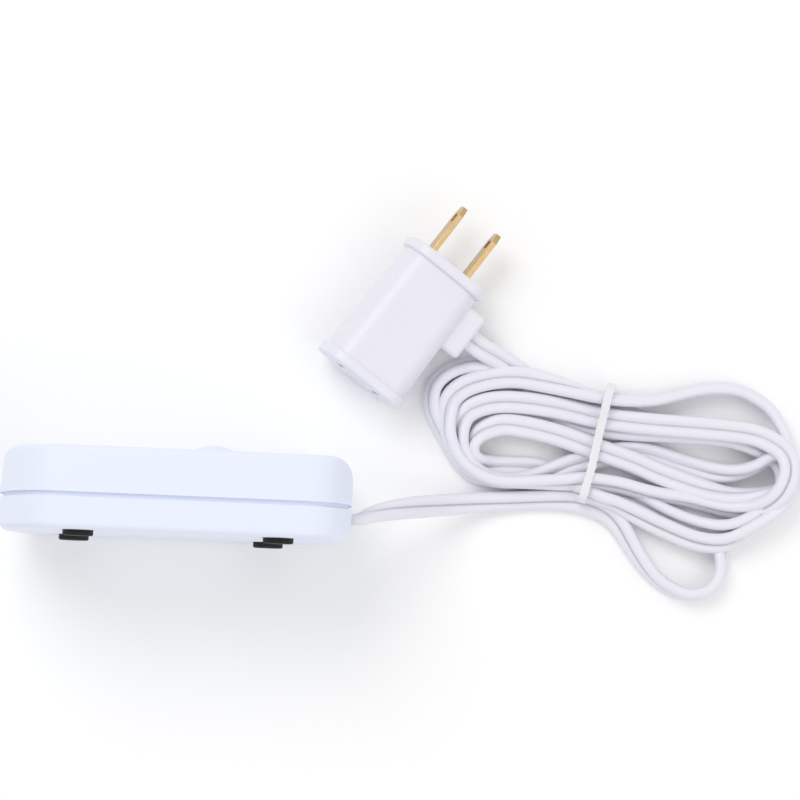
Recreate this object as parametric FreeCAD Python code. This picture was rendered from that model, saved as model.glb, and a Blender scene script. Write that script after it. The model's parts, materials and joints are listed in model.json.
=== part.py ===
import FreeCAD, Part
import math
import os

# A plug-in light timer: a flat two-part case with one push button, a flat twin cord tied in a hank,
# and a plug that has two blades in front and an outlet behind. All sizes are in millimetres.
# The timer lies on its long side, as on a table seen from above: +X runs along the case to its cord,
# +Y is the way the button faces, and +Z is up from the table.

Vec = FreeCAD.Vector

# Case
CASE_LENGTH = 100.0
CASE_DEPTH = 66.0
BOTTOM_COVER_HEIGHT = 9.0
GROOVE_HEIGHT = 1.3
TOP_COVER_HEIGHT = 13.1
WALL = 2.2
HOLLOW_OVERRUN = 0.4
END_BOW_RADIUS = 60.0
PLAN_CORNER_RADIUS = 12.0
LONG_EDGE_RADIUS = 1.8
BOTTOM_END_RADIUS = 3.2
CORD_END_TOP_RADIUS = 8.0
FAR_END_SLOPE_LENGTH = 4.5
FAR_END_SLOPE_DROP = 1.1
FAR_END_LEAN = 1.3
FAR_END_TOP_RADIUS = 3.0
FAR_END_SOFT_RADIUS = 8.0
GROOVE_DEPTH = 1.2
LIP_THICKNESS = 1.0
LIP_HEIGHT = 1.8
LIP_ROOT_DEPTH = 0.8
LIP_ROOT_OVERLAP = 0.4
SEAT_CLEARANCE = 0.15
POST_EMBED = 0.2

# Feet and the screws that they hide
FOOT_SPACING_X = 56.0
FOOT_SIDE_INSET = 10.5
FOOT_DIAMETER = 8.6
FOOT_THICKNESS = 2.6
FOOT_PROUD = 1.6
FOOT_EDGE_RADIUS = 0.5
CASE_SCREW_DIAMETER = 2.8
CASE_SCREW_HEAD = 5.4
CASE_SCREW_HEAD_HEIGHT = 2.0
CASE_SCREW_LENGTH = 12.0
SCREW_SEAT_HEIGHT = 4.0
SCREW_POST_DIAMETER = 7.4
SCREW_CLEARANCE = 0.2
PILOT_RUN_OUT = 0.3
CROSS_SLOT = 0.6
CROSS_SLOT_SHARE = 0.6

# Push button
BUTTON_X = 10.4
BUTTON_DIAMETER = 14.0
BUTTON_PROUD = 2.8
BUTTON_RIM_PROUD = 0.6
BUTTON_WALL = 1.4
BUTTON_GUIDE = 1.4
BUTTON_FLANGE = 1.2
BUTTON_FIT = 0.2
BUTTON_TRAVEL = 1.2
STEM_DIAMETER = 3.4
STEM_FIT = 0.1
SWITCH_SIZE = 7.6
SWITCH_FLOOR = 0.8
SWITCH_COLLAR = 0.6
SPRING_WIRE = 0.4
SPRING_TURNS = 4
SPRING_WIRE_SIDES = 8
SPRING_PACKED_ROOM = 0.48
SPRING_SEAT_GAP = 0.03

# Circuit board and what it carries
BOARD_THICKNESS = 1.6
BOARD_HEIGHT = 6.4
BOARD_FAR_GAP = 4.8
BOARD_CORD_GAP = 5.2
BOARD_SIDE_GAP = 3.8
BOARD_CORNER_RADIUS = 6.0
BOARD_HOLE_CLEARANCE = 0.5
BOARD_POST_FAR_INSET = 9.0
BOARD_POST_CORD_INSET = 5.0
BOARD_POST_Y = 10.0
BOARD_POST_DIAMETER = 6.0
BOARD_SCREW_DIAMETER = 2.2
BOARD_SCREW_HEAD = 4.2
BOARD_SCREW_HEAD_HEIGHT = 1.4
BOARD_SCREW_LENGTH = 4.5
TERMINAL_INSET = 3.5
TERMINAL_SPACING = 8.0
TERMINAL_SIZE = 4.0
TERMINAL_THICKNESS = 1.0
TERMINAL_CORNER_RADIUS = 0.4
LAMP_COUNT = 4
LAMP_FIRST_X = -8.0
LAMP_SPACING = 8.0
LAMP_DIAMETER = 3.0
LAMP_HEIGHT = 4.0
LAMP_RIM_HEIGHT = 0.6
LAMP_RIM_WIDTH = 0.4
LAMP_GAP = 0.3
LENS_FLANGE = 1.0
LENS_FIT = 0.05
RELAY_X = -12.0
RELAY_Y = 14.5
RELAY_LENGTH = 19.0
RELAY_WIDTH = 15.4
RELAY_HEIGHT = 12.0
FILM_CAPACITOR_X = 12.0
FILM_CAPACITOR_Y = 18.0
FILM_CAPACITOR_LENGTH = 17.0
FILM_CAPACITOR_WIDTH = 7.0
FILM_CAPACITOR_HEIGHT = 11.0
ELECTROLYTIC_Y = 3.5
ELECTROLYTIC_DIAMETER = 8.0
ELECTROLYTIC_HEIGHT = 11.5
COMPONENT_EDGE_RADIUS = 0.6
VARISTOR_INSET = 15.0
VARISTOR_Y = -10.0
VARISTOR_DIAMETER = 7.2
VARISTOR_THICKNESS = 3.4
VARISTOR_LIFT = 0.8
VARISTOR_LEAD_DIAMETER = 0.7
VARISTOR_LEAD_SPACING = 5.0
FUSE_INSET = 5.4
FUSE_SIDE_INSET = 11
FUSE_LENGTH = 10.6
FUSE_DIAMETER = 3.8
FUSE_CAP_DIAMETER = 4.4
FUSE_CAP_LENGTH = 1.6
DIODE_COUNT = 4
DIODE_FIRST_X = -4.0
DIODE_SPACING = 4.0
DIODE_Y = -14.0
DIODE_LENGTH = 4.6
DIODE_DIAMETER = 2.6
RESISTOR_COUNT = 3
RESISTOR_FIRST_X = -9.0
RESISTOR_SPACING = 4.0
RESISTOR_Y = -22.0
RESISTOR_LENGTH = 6.4
RESISTOR_DIAMETER = 2.2
CHIP_X = -20.0
CHIP_Y = -9.0
CHIP_LENGTH = 9.9
CHIP_WIDTH = 3.9
CHIP_HEIGHT = 1.5
CHIP_LIFT = 0.15
CHIP_LEG_COUNT = 7
CHIP_LEG_SPACING = 1.27
CHIP_LEG_REACH = 1.15
CHIP_LEG_WIDTH = 0.4
CHIP_LEG_HEIGHT = 0.7
CHIP_LEG_OVERLAP = 0.05

# Flat twin cord
CORD_THICKNESS = 3.3
CORD_WIDTH = 6.6
CORE_DIAMETER = 1.8
EXIT_HEIGHT = 6.7
EXIT_WINDOW_HEIGHT = 4.6
EXIT_WINDOW_WIDTH = 9.4
BUSHING_FIT = 0.1
BUSHING_RECESS = 0.9
BUSHING_FLANGE_THICKNESS = 2.0
BUSHING_SETBACK = 1.6
BUSHING_FLOOR_GAP = 0.6
BUSHING_FLANGE_WIDTH = 12.0
CORD_END_SETBACK = 4.0
CORE_SPREAD_BACK = 0.6

# Hank of cord
STATIONS_PER_TURN = 18
LAYER_GAP = 0.55
TABLE_GAP = 0.1
FIRST_TURNS = 1.0
DEEPEST_TURNS = 2.78
TURN_BACK_COUNT = 29
CLIMB_END_COUNT = 31
DESCENT_START_COUNT = 73
DESCENT_END_COUNT = 78
STATION_COUNT = 79
END_STRAIGHT = 3.4
HANK_START_HEADING = (0.85, -0.53)
HANK_END_HEADING = (-0.12, -0.99)

# Tie round the hank
TIE_WIDTH = 2.8
TIE_THICKNESS = 0.7
TIE_GAP = 0.35
TIE_FAR_COUNT = 74
TIE_NEAR_COUNT = 66
TIE_LOW_COUNT = 12
TIE_NEAR_SHARE = 0.35

# Plug
PLUG_LENGTH = 42.4
PLUG_ANGLE = 54.4
PLUG_PITCH_ANGLE = 1.5
PLUG_ROLL_ANGLE = 10.0
PLUG_FRONT_X = 76.8
PLUG_FRONT_Y = 70.3
PLUG_TABLE_GAP = 0.2
PLUG_PLATE = 3.2
PLUG_REAR_PLATE = 3.4
PLUG_PLATE_EDGE_RADIUS = 0.8
PLUG_FRONT_WIDTH = 27.2
PLUG_FRONT_THICKNESS = 20.0
PLUG_FRONT_CORNER = 7.0
PLUG_NECK_WIDTH = 25.0
PLUG_NECK_THICKNESS = 16.6
PLUG_TAIL_WIDTH = 26.4
PLUG_TAIL_THICKNESS = 18.6
PLUG_BODY_CORNER = 6.5
PLUG_REAR_WIDTH = 28.8
PLUG_REAR_THICKNESS = 20.8
PLUG_REAR_CORNER = 7.5
PLUG_WALL = 2.0
BLADE_SPACING = 12.7
BLADE_WIDTH = 6.35
BLADE_THICKNESS = 1.5
BLADE_LENGTH = 15.9
BLADE_HOLE = 3.0
BLADE_HOLE_FROM_TIP = 4.0
BLADE_TIP_TAPER = 1.4
BLADE_ROOT = 12.0
SLOT_WIDTH = 2.0
SLOT_HEIGHT = 8.2
CONTACT_LEAF = 0.5
CONTACT_LENGTH = 13.0
CONTACT_BACK_GAP = 0.6
CONTACT_LAP = 3.0
CONTACT_CORE_CLEARANCE = 0.3
BOSS_BEHIND_FRONT = 13.0
BOSS_LENGTH = 14.6
BOSS_PROUD = 6.0
BOSS_THICKNESS = 9.0
BOSS_EDGE_RADIUS = 1.5

# Sizes that follow from the ones above
CASE_HEIGHT = BOTTOM_COVER_HEIGHT + GROOVE_HEIGHT + TOP_COVER_HEIGHT
TOTAL_HEIGHT = FOOT_PROUD + CASE_HEIGHT + BUTTON_PROUD
CASE_BOTTOM_Y = -TOTAL_HEIGHT / 2 + FOOT_PROUD
PARTING = BOTTOM_COVER_HEIGHT + GROOVE_HEIGHT
BOARD_TOP = BOARD_HEIGHT + BOARD_THICKNESS
WINDOW_START_X = CASE_LENGTH / 2 - WALL - BUSHING_SETBACK
FLANGE_START_X = WINDOW_START_X - BUSHING_FLANGE_THICKNESS
CORD_INNER_END_X = CASE_LENGTH / 2 - CORD_END_SETBACK
BOARD_START_X = -CASE_LENGTH / 2 + WALL + BOARD_FAR_GAP
BOARD_END_X = FLANGE_START_X - BOARD_CORD_GAP
BOARD_WIDTH = CASE_DEPTH - 2 * WALL - 2 * BOARD_SIDE_GAP
TERMINAL_X = BOARD_END_X - TERMINAL_INSET
FUSE_Y = FUSE_SIDE_INSET - BOARD_WIDTH / 2
FOOT_POCKET = FOOT_THICKNESS - FOOT_PROUD
FOOT_SPACING_Y = CASE_DEPTH - 2 * FOOT_SIDE_INSET
FOOT_PLACES = [(sx * FOOT_SPACING_X / 2, sy * FOOT_SPACING_Y / 2) for sx in (-1, 1) for sy in (-1, 1)]
BOARD_POST_XS = (BOARD_START_X + BOARD_POST_FAR_INSET, BOARD_END_X - BOARD_POST_CORD_INSET)
BOARD_POSTS = [(x, BOARD_POST_Y) for x in BOARD_POST_XS]
LAMP_PLACES = [LAMP_FIRST_X - i * LAMP_SPACING for i in range(LAMP_COUNT)]
DIODE_PLACES = [DIODE_FIRST_X + i * DIODE_SPACING for i in range(DIODE_COUNT)]
RESISTOR_PLACES = [RESISTOR_FIRST_X + i * RESISTOR_SPACING for i in range(RESISTOR_COUNT)]
BUTTON_FLANGE_EDGE_X = BUTTON_X + BUTTON_DIAMETER / 2 + BUTTON_FLANGE
ELECTROLYTIC_X = (BUTTON_FLANGE_EDGE_X + TERMINAL_X - TERMINAL_SIZE / 2) / 2

BUTTON_TOP = CASE_HEIGHT + BUTTON_PROUD
STEM_TOP = CASE_HEIGHT + BUTTON_RIM_PROUD - BUTTON_WALL
GUIDE_LOW = CASE_HEIGHT - WALL - BUTTON_GUIDE
FLANGE_TOP = GUIDE_LOW - BUTTON_FIT
COLLAR_LOW = BOARD_TOP + SWITCH_FLOOR + SPRING_TURNS * SPRING_WIRE + SPRING_PACKED_ROOM + BUTTON_TRAVEL
SWITCH_TOP = COLLAR_LOW + SWITCH_COLLAR + SWITCH_FLOOR

BODY_TOP = -PLUG_PLATE
BODY_LOW = -PLUG_LENGTH + PLUG_REAR_PLATE
BLADE_X = BLADE_SPACING / 2
BOSS_END_X = PLUG_NECK_WIDTH / 2 + BOSS_PROUD
BOSS_Z = -BOSS_BEHIND_FRONT
CORE_SPACING = CORD_WIDTH / 2
CORD_EXIT = (CASE_LENGTH / 2, CASE_BOTTOM_Y + EXIT_HEIGHT, CASE_DEPTH / 2)

LYING_Z = TABLE_GAP + CORD_WIDTH / 2
LOW_LAYER_Z = LYING_Z + TIE_THICKNESS + TIE_GAP
HIGH_LAYER_Z = LOW_LAYER_Z + CORD_WIDTH + LAYER_GAP

# Stations round the hank, clockwise from above: the outermost place, and the step inwards per turn.
HANK_STATIONS = [
    (95.8, 41.3, 0.3, -6.8),
    (110.0, 38.4, 0.3, -7.1),
    (124.8, 35.5, 0.0, -7.3),
    (139.3, 36.7, -0.4, -9.2),
    (154.1, 39.7, -1.5, -11.9),
    (168.0, 37.2, -2.9, -11.2),
    (176.9, 26.2, -3.4, -6.4),
    (179.9, 13.7, -4.4, -1.9),
    (177.9, -1.4, -4.9, 3.9),
    (167.4, -10.2, -1.4, 5.8),
    (155.1, -12.4, -1.5, 6.9),
    (139.4, -6.5, -0.5, 6.1),
    (124.2, 1.9, -0.2, 4.7),
    (108.9, 5.2, -0.2, 4.2),
    (94.5, 6.4, 0.3, 4.1),
    (79.3, 12.8, 4.5, 2.1),
    (70.3, 31.4, 7.0, -4.4),
    (76.2, 42.1, 5.5, -7.5),
]

# Lead from the case: down to the table, along it and round the loose loop to the hank's end.
EXIT_RUN = 6.0
END_RUN = 5.0
LEAD_ROUTE = [
    (67.0, -4.2, 28.6),
    (75.5, -2.2, 18.0),
    (85.0, 0.2, 8.2),
    (97.5, 1.9, 3.7),
    (111.0, 2.4, 3.5),
    (121.5, 0.4, 3.5),
    (130.0, -4.2, 3.5),
    (136.4, -10.6, 3.5),
    (142.0, -17.0, 3.5),
    (149.0, -21.6, 3.5),
    (156.6, -21.8, 3.5),
    (161.6, -16.4, 3.5),
    (163.0, -9.6, 3.5),
    (167.8, -4.8, 3.6),
    (174.0, -0.8, 4.4),
]

# Tail from the plug's boss down to the hank, below its highest turns.
BOSS_RUN = 3.2
TAIL_END_RUN = 3.0
TAIL_ROUTE = [
    (89.0, 42.6, 6.4),
]


def unit(v):
    return v * (1.0 / v.Length)


def box(x0, x1, y0, y1, z0, z1):
    return Part.makeBox(x1 - x0, y1 - y0, z1 - z0, Vec(x0, y0, z0))


def post(x, y, z0, z1, diameter):
    return Part.makeCylinder(diameter / 2, z1 - z0, Vec(x, y, z0))


def lay_on_side(shape):
    """Lays a piece of the case, modelled button up, on its long side with the button towards +Y."""
    laid = shape.copy()
    laid.rotate(Vec(0, 0, 0), Vec(1, 0, 0), -90)
    laid.translate(Vec(0, CASE_BOTTOM_Y, CASE_DEPTH / 2))
    return laid


def centred_box(x, y, z0, length, width, height):
    return box(x - length / 2, x + length / 2, y - width / 2, y + width / 2, z0, z0 + height)


def save(shape, name):
    shape.exportStep("parts/%s.step" % name)


def corner_arc(before, corner, after, radius):
    """Where an arc of this radius leaves and joins the two runs, and its middle."""
    into = unit(corner - before)
    out = unit(after - corner)
    turn = into.getAngle(out)
    reach = radius * math.tan(turn / 2)
    inward = unit(out - into)
    middle = corner + inward * (radius / math.cos(turn / 2) - radius)
    return corner - into * reach, middle, corner + out * reach


def rounded_loop(points, radii):
    """Closed outline with an arc of its own radius at each corner."""
    count = len(points)
    arcs = [corner_arc(points[i - 1], points[i], points[(i + 1) % count], radii[i]) for i in range(count)]
    edges = []
    for i in range(count):
        start, middle, end = arcs[i]
        following = arcs[(i + 1) % count][0]
        edges.append(Part.Arc(start, middle, end).toShape())
        if (following - end).Length > 1e-6:
            edges.append(Part.LineSegment(end, following).toShape())
    return Part.Wire(edges)


def prism(outline, direction):
    return Part.Face(outline).extrude(direction)


def stadium(centre, wide_axis, thin_axis, width, thickness):
    """Flat section with round edges, as the cord has."""
    half = (width - thickness) / 2
    r = thickness / 2
    wide = unit(wide_axis)
    thin = unit(thin_axis)
    a = centre + wide * half + thin * r
    b = centre + wide * (half + r)
    c = centre + wide * half - thin * r
    d = centre - wide * half - thin * r
    e = centre - wide * (half + r)
    f = centre - wide * half + thin * r
    return Part.Wire([
        Part.Arc(a, b, c).toShape(),
        Part.LineSegment(c, d).toShape(),
        Part.Arc(d, e, f).toShape(),
        Part.LineSegment(f, a).toShape(),
    ])


# Case

def case_plan(inset, z0, z1, edge_radius):
    """Block with the case's outline from above: long straight sides and bowed ends."""
    half_length = CASE_LENGTH / 2 - inset
    half_depth = CASE_DEPTH / 2 - inset
    bow = END_BOW_RADIUS - inset
    plan = box(-half_length, half_length, -half_depth, half_depth, z0, z1)
    for side in (-1, 1):
        plan = plan.common(Part.makeCylinder(bow, z1 - z0, Vec(side * (half_length - bow), 0, z0)))
    upright = [e for e in plan.Edges if abs(e.tangentAt(e.FirstParameter).z) > 0.99]
    plan = plan.makeFillet(PLAN_CORNER_RADIUS - inset, upright)
    if edge_radius > 0:
        rims = [e for e in plan.Edges if abs(e.tangentAt(e.FirstParameter).z) < 0.01]
        plan = plan.makeFillet(edge_radius, rims)
    return plan


def case_side(inset, overrun):
    """Block with the case's outline from its long side: round at the cord end, sloped at the far end."""
    x = CASE_LENGTH / 2 - inset + overrun
    top = CASE_HEIGHT - inset
    low = inset
    y = -CASE_DEPTH / 2 - 1
    corner_x = -CASE_LENGTH / 2 + FAR_END_LEAN + inset
    corner_z = CASE_HEIGHT - FAR_END_SLOPE_DROP - inset
    points = [
        Vec(-x, y, low),
        Vec(x, y, low),
        Vec(x, y, top),
        Vec(corner_x + FAR_END_SLOPE_LENGTH, y, top),
        Vec(corner_x, y, corner_z),
        Vec(-x, y, PARTING + inset),
    ]
    radii = [
        BOTTOM_END_RADIUS - inset,
        BOTTOM_END_RADIUS - inset,
        CORD_END_TOP_RADIUS - inset,
        FAR_END_SOFT_RADIUS,
        FAR_END_TOP_RADIUS,
        FAR_END_SOFT_RADIUS,
    ]
    return prism(rounded_loop(points, radii), Vec(0, CASE_DEPTH + 2, 0))


def case_block():
    return case_plan(0, 0, CASE_HEIGHT, LONG_EDGE_RADIUS).common(case_side(0, 0))


def case_hollow():
    return case_side(WALL, HOLLOW_OVERRUN).common(case_plan(WALL, 0, CASE_HEIGHT, 0))


def case_ring(outer_inset, inner_inset, z0, z1):
    """Band that follows the case's wall between two insets."""
    return case_plan(outer_inset, z0, z1, 0).cut(case_plan(inner_inset, z0, z1, 0))


def case_slice(z0, z1):
    """Shell of the case between two heights."""
    big = CASE_LENGTH
    return case_block().common(box(-big, big, -big, big, z0, z1)).cut(case_hollow())


def make_bottom_cover():
    cover = case_slice(0, BOTTOM_COVER_HEIGHT)
    lip_outer = WALL + SEAT_CLEARANCE
    lip_inner = lip_outer + LIP_THICKNESS
    cover = cover.fuse(case_ring(GROOVE_DEPTH, lip_inner, BOTTOM_COVER_HEIGHT, PARTING))
    root_low = BOTTOM_COVER_HEIGHT - LIP_ROOT_DEPTH
    cover = cover.fuse(case_ring(WALL - LIP_ROOT_OVERLAP, lip_inner, root_low, BOTTOM_COVER_HEIGHT))
    cover = cover.fuse(case_ring(lip_outer, lip_inner, PARTING, PARTING + LIP_HEIGHT))
    for x, y in FOOT_PLACES:
        cover = cover.fuse(post(x, y, WALL - POST_EMBED, PARTING - SEAT_CLEARANCE, SCREW_POST_DIAMETER))
    for x, y in BOARD_POSTS:
        cover = cover.fuse(post(x, y, WALL - POST_EMBED, BOARD_HEIGHT, BOARD_POST_DIAMETER))
    for x, y in FOOT_PLACES:
        cover = cover.cut(post(x, y, 0, FOOT_POCKET, FOOT_DIAMETER + 2 * SCREW_CLEARANCE))
        cover = cover.cut(post(x, y, 0, SCREW_SEAT_HEIGHT, CASE_SCREW_HEAD + 2 * SCREW_CLEARANCE))
        cover = cover.cut(post(x, y, 0, PARTING + 1, CASE_SCREW_DIAMETER + 2 * SCREW_CLEARANCE))
    for x, y in BOARD_POSTS:
        screw_end = BOARD_TOP - BOARD_SCREW_LENGTH - PILOT_RUN_OUT
        cover = cover.cut(post(x, y, screw_end, BOARD_HEIGHT, BOARD_SCREW_DIAMETER))
    half = EXIT_WINDOW_WIDTH / 2
    window_low = BOTTOM_COVER_HEIGHT - EXIT_WINDOW_HEIGHT
    window = box(WINDOW_START_X, CASE_LENGTH / 2 + 1, -half, half, window_low, BOTTOM_COVER_HEIGHT)
    return cover.cut(window).removeSplitter()


def make_top_cover():
    cover = case_slice(PARTING, CASE_HEIGHT + 1)
    roof = CASE_HEIGHT - WALL
    for x, y in FOOT_PLACES:
        cover = cover.fuse(post(x, y, PARTING, roof + POST_EMBED, SCREW_POST_DIAMETER))
    guide_outer = BUTTON_DIAMETER + 2 * BUTTON_FIT + 2 * LIP_THICKNESS
    cover = cover.fuse(post(BUTTON_X, 0, GUIDE_LOW, roof + POST_EMBED, guide_outer))
    cover = cover.cut(post(BUTTON_X, 0, GUIDE_LOW - 1, CASE_HEIGHT + 1, BUTTON_DIAMETER + 2 * BUTTON_FIT))
    for x in LAMP_PLACES:
        cover = cover.cut(post(x, 0, roof - 1, CASE_HEIGHT + 1, LAMP_DIAMETER + 2 * LENS_FIT))
    screw_end = SCREW_SEAT_HEIGHT + CASE_SCREW_LENGTH + PILOT_RUN_OUT
    for x, y in FOOT_PLACES:
        cover = cover.cut(post(x, y, PARTING, screw_end, CASE_SCREW_DIAMETER))
    return cover.removeSplitter()


def make_foot(x, y):
    foot = post(x, y, -FOOT_PROUD, FOOT_POCKET, FOOT_DIAMETER)
    rim = [e for e in foot.Edges if e.Closed and e.CenterOfMass.z < -FOOT_PROUD + 0.01]
    return foot.makeFillet(FOOT_EDGE_RADIUS, rim)


def make_screw(x, y, head_low, head_diameter, head_height, shank_diameter, shank_length, head_down):
    """Screw with a cross slot: head below and shank up, or the other way round."""
    head = post(x, y, head_low, head_low + head_height, head_diameter)
    slot_depth = head_height * CROSS_SLOT_SHARE
    slot_length = head_diameter * CROSS_SLOT_SHARE
    if head_down:
        shank = post(x, y, head_low + head_height, head_low + head_height + shank_length, shank_diameter)
        slot_z = head_low
    else:
        shank = post(x, y, head_low - shank_length, head_low, shank_diameter)
        slot_z = head_low + head_height - slot_depth
    screw = head.fuse(shank)
    screw = screw.cut(centred_box(x, y, slot_z, slot_length, CROSS_SLOT, slot_depth))
    screw = screw.cut(centred_box(x, y, slot_z, CROSS_SLOT, slot_length, slot_depth))
    return screw.removeSplitter()


def make_case_screws():
    low = SCREW_SEAT_HEIGHT - CASE_SCREW_HEAD_HEIGHT
    return Part.makeCompound([
        make_screw(x, y, low, CASE_SCREW_HEAD, CASE_SCREW_HEAD_HEIGHT,
                   CASE_SCREW_DIAMETER, CASE_SCREW_LENGTH, True)
        for x, y in FOOT_PLACES])


def make_board_screws():
    return Part.makeCompound([
        make_screw(x, y, BOARD_TOP, BOARD_SCREW_HEAD, BOARD_SCREW_HEAD_HEIGHT,
                   BOARD_SCREW_DIAMETER, BOARD_SCREW_LENGTH, False)
        for x, y in BOARD_POSTS])


# Button and switch

def make_button_cap():
    r = BUTTON_DIAMETER / 2
    bottom = FLANGE_TOP - BUTTON_FLANGE
    dome_height = BUTTON_PROUD - BUTTON_RIM_PROUD
    dome_radius = (r * r + dome_height * dome_height) / (2 * dome_height)
    cap = post(0, 0, bottom, BUTTON_TOP + 1, BUTTON_DIAMETER)
    cap = cap.common(Part.makeSphere(dome_radius, Vec(0, 0, BUTTON_TOP - dome_radius)))
    cap = cap.fuse(post(0, 0, bottom, FLANGE_TOP, BUTTON_DIAMETER + 2 * BUTTON_FLANGE))
    cap = cap.cut(post(0, 0, bottom - 1, STEM_TOP, BUTTON_DIAMETER - 2 * BUTTON_WALL))
    cap.translate(Vec(BUTTON_X, 0, 0))
    return cap.removeSplitter()


def make_switch_body():
    body = centred_box(BUTTON_X, 0, BOARD_TOP, SWITCH_SIZE, SWITCH_SIZE, SWITCH_TOP - BOARD_TOP)
    floor = BOARD_TOP + SWITCH_FLOOR
    bore = STEM_DIAMETER + 2 * STEM_FIT
    body = body.cut(post(BUTTON_X, 0, floor, SWITCH_TOP - SWITCH_FLOOR, bore + 2 * SWITCH_COLLAR))
    return body.cut(post(BUTTON_X, 0, floor, SWITCH_TOP + 1, bore))


def make_switch_stem():
    """Stem that the cap stands on, with the collar that the spring pushes on."""
    stem = post(BUTTON_X, 0, COLLAR_LOW, STEM_TOP, STEM_DIAMETER)
    collar = post(BUTTON_X, 0, COLLAR_LOW, COLLAR_LOW + SWITCH_COLLAR, STEM_DIAMETER + 2 * SWITCH_COLLAR)
    return stem.fuse(collar).removeSplitter()


def make_switch_spring():
    """Return spring between the switch's floor and the stem's collar."""
    low = BOARD_TOP + SWITCH_FLOOR + SPRING_WIRE / 2 + SPRING_SEAT_GAP
    height = COLLAR_LOW - SPRING_WIRE / 2 - SPRING_SEAT_GAP - low
    coil_radius = STEM_DIAMETER / 2 - SPRING_WIRE / 2
    helix = Part.makeHelix(height / SPRING_TURNS, height, coil_radius)
    first = helix.Edges[0]
    start = first.valueAt(first.FirstParameter)
    along = unit(first.tangentAt(first.FirstParameter))
    out = unit(Vec(start.x, start.y, 0))
    across = unit(along.cross(out))
    r = SPRING_WIRE / 2
    corners = []
    for i in range(SPRING_WIRE_SIDES + 1):
        turn = 2 * math.pi * i / SPRING_WIRE_SIDES
        corners.append(start + out * (r * math.cos(turn)) + across * (r * math.sin(turn)))
    spring = Part.Wire(helix.Edges).makePipeShell([Part.makePolygon(corners)], True, True)
    spring.translate(Vec(BUTTON_X, 0, low))
    return spring


# Board and components

def make_board():
    board = box(BOARD_START_X, BOARD_END_X, -BOARD_WIDTH / 2, BOARD_WIDTH / 2, BOARD_HEIGHT, BOARD_TOP)
    for x, y in FOOT_PLACES:
        board = board.cut(post(x, y, 0, BOARD_TOP + 1, SCREW_POST_DIAMETER + 2 * BOARD_HOLE_CLEARANCE))
    for x, y in BOARD_POSTS:
        board = board.cut(post(x, y, 0, BOARD_TOP + 1, BOARD_SCREW_DIAMETER))
    corners = []
    for edge in board.Edges:
        stands = len(edge.Vertexes) == 2 and abs(edge.tangentAt(edge.FirstParameter).z) > 0.99
        if stands and abs(abs(edge.CenterOfMass.y) - BOARD_WIDTH / 2) < 0.01:
            corners.append(edge)
    return board.makeFillet(BOARD_CORNER_RADIUS, corners)


def rounded_above(shape):
    """Component with its edges rounded, except where it stands on the board."""
    above = [e for e in shape.Edges if e.CenterOfMass.z > BOARD_TOP + 1]
    return shape.makeFillet(COMPONENT_EDGE_RADIUS, above)


def make_relay():
    return rounded_above(centred_box(RELAY_X, RELAY_Y, BOARD_TOP, RELAY_LENGTH, RELAY_WIDTH, RELAY_HEIGHT))


def make_film_capacitor():
    return rounded_above(centred_box(FILM_CAPACITOR_X, FILM_CAPACITOR_Y, BOARD_TOP,
                                     FILM_CAPACITOR_LENGTH, FILM_CAPACITOR_WIDTH, FILM_CAPACITOR_HEIGHT))


def make_electrolytic_capacitor():
    top = BOARD_TOP + ELECTROLYTIC_HEIGHT
    can = post(ELECTROLYTIC_X, ELECTROLYTIC_Y, BOARD_TOP, top, ELECTROLYTIC_DIAMETER)
    top_rim = [e for e in can.Edges if e.Closed and e.CenterOfMass.z > BOARD_TOP + 1]
    return can.makeFillet(COMPONENT_EDGE_RADIUS, top_rim)


def make_varistor():
    """Disc that stands on its edge on two leads."""
    x = BOARD_END_X - VARISTOR_INSET
    r = VARISTOR_DIAMETER / 2
    middle = Vec(x, VARISTOR_Y, BOARD_TOP + VARISTOR_LIFT + r)
    body = Part.makeCylinder(r, VARISTOR_THICKNESS, middle, Vec(0, 1, 0))
    for side in (-1, 1):
        lead_x = x + side * VARISTOR_LEAD_SPACING / 2
        lead_top = BOARD_TOP + VARISTOR_LIFT + r / 2
        lead = post(lead_x, VARISTOR_Y + VARISTOR_THICKNESS / 2, BOARD_TOP, lead_top, VARISTOR_LEAD_DIAMETER)
        body = body.fuse(lead)
    return body.removeSplitter()


def make_fuse():
    """Glass tube along the board with a metal cap on each end."""
    start = BOARD_END_X - FUSE_INSET - FUSE_LENGTH
    z = BOARD_TOP + FUSE_CAP_DIAMETER / 2
    fuse = Part.makeCylinder(FUSE_DIAMETER / 2, FUSE_LENGTH, Vec(start, FUSE_Y, z), Vec(1, 0, 0))
    for x in (start, start + FUSE_LENGTH - FUSE_CAP_LENGTH):
        cap = Part.makeCylinder(FUSE_CAP_DIAMETER / 2, FUSE_CAP_LENGTH, Vec(x, FUSE_Y, z), Vec(1, 0, 0))
        fuse = fuse.fuse(cap)
    return fuse.removeSplitter()


def lying_barrels(places, y, length, diameter):
    """Small cylinders side by side on the board."""
    r = diameter / 2
    starts = [Vec(x, y, BOARD_TOP + r) for x in places]
    return Part.makeCompound([Part.makeCylinder(r, length, start, Vec(0, 1, 0)) for start in starts])


def make_diodes():
    return lying_barrels(DIODE_PLACES, DIODE_Y, DIODE_LENGTH, DIODE_DIAMETER)


def make_resistors():
    return lying_barrels(RESISTOR_PLACES, RESISTOR_Y, RESISTOR_LENGTH, RESISTOR_DIAMETER)


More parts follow.
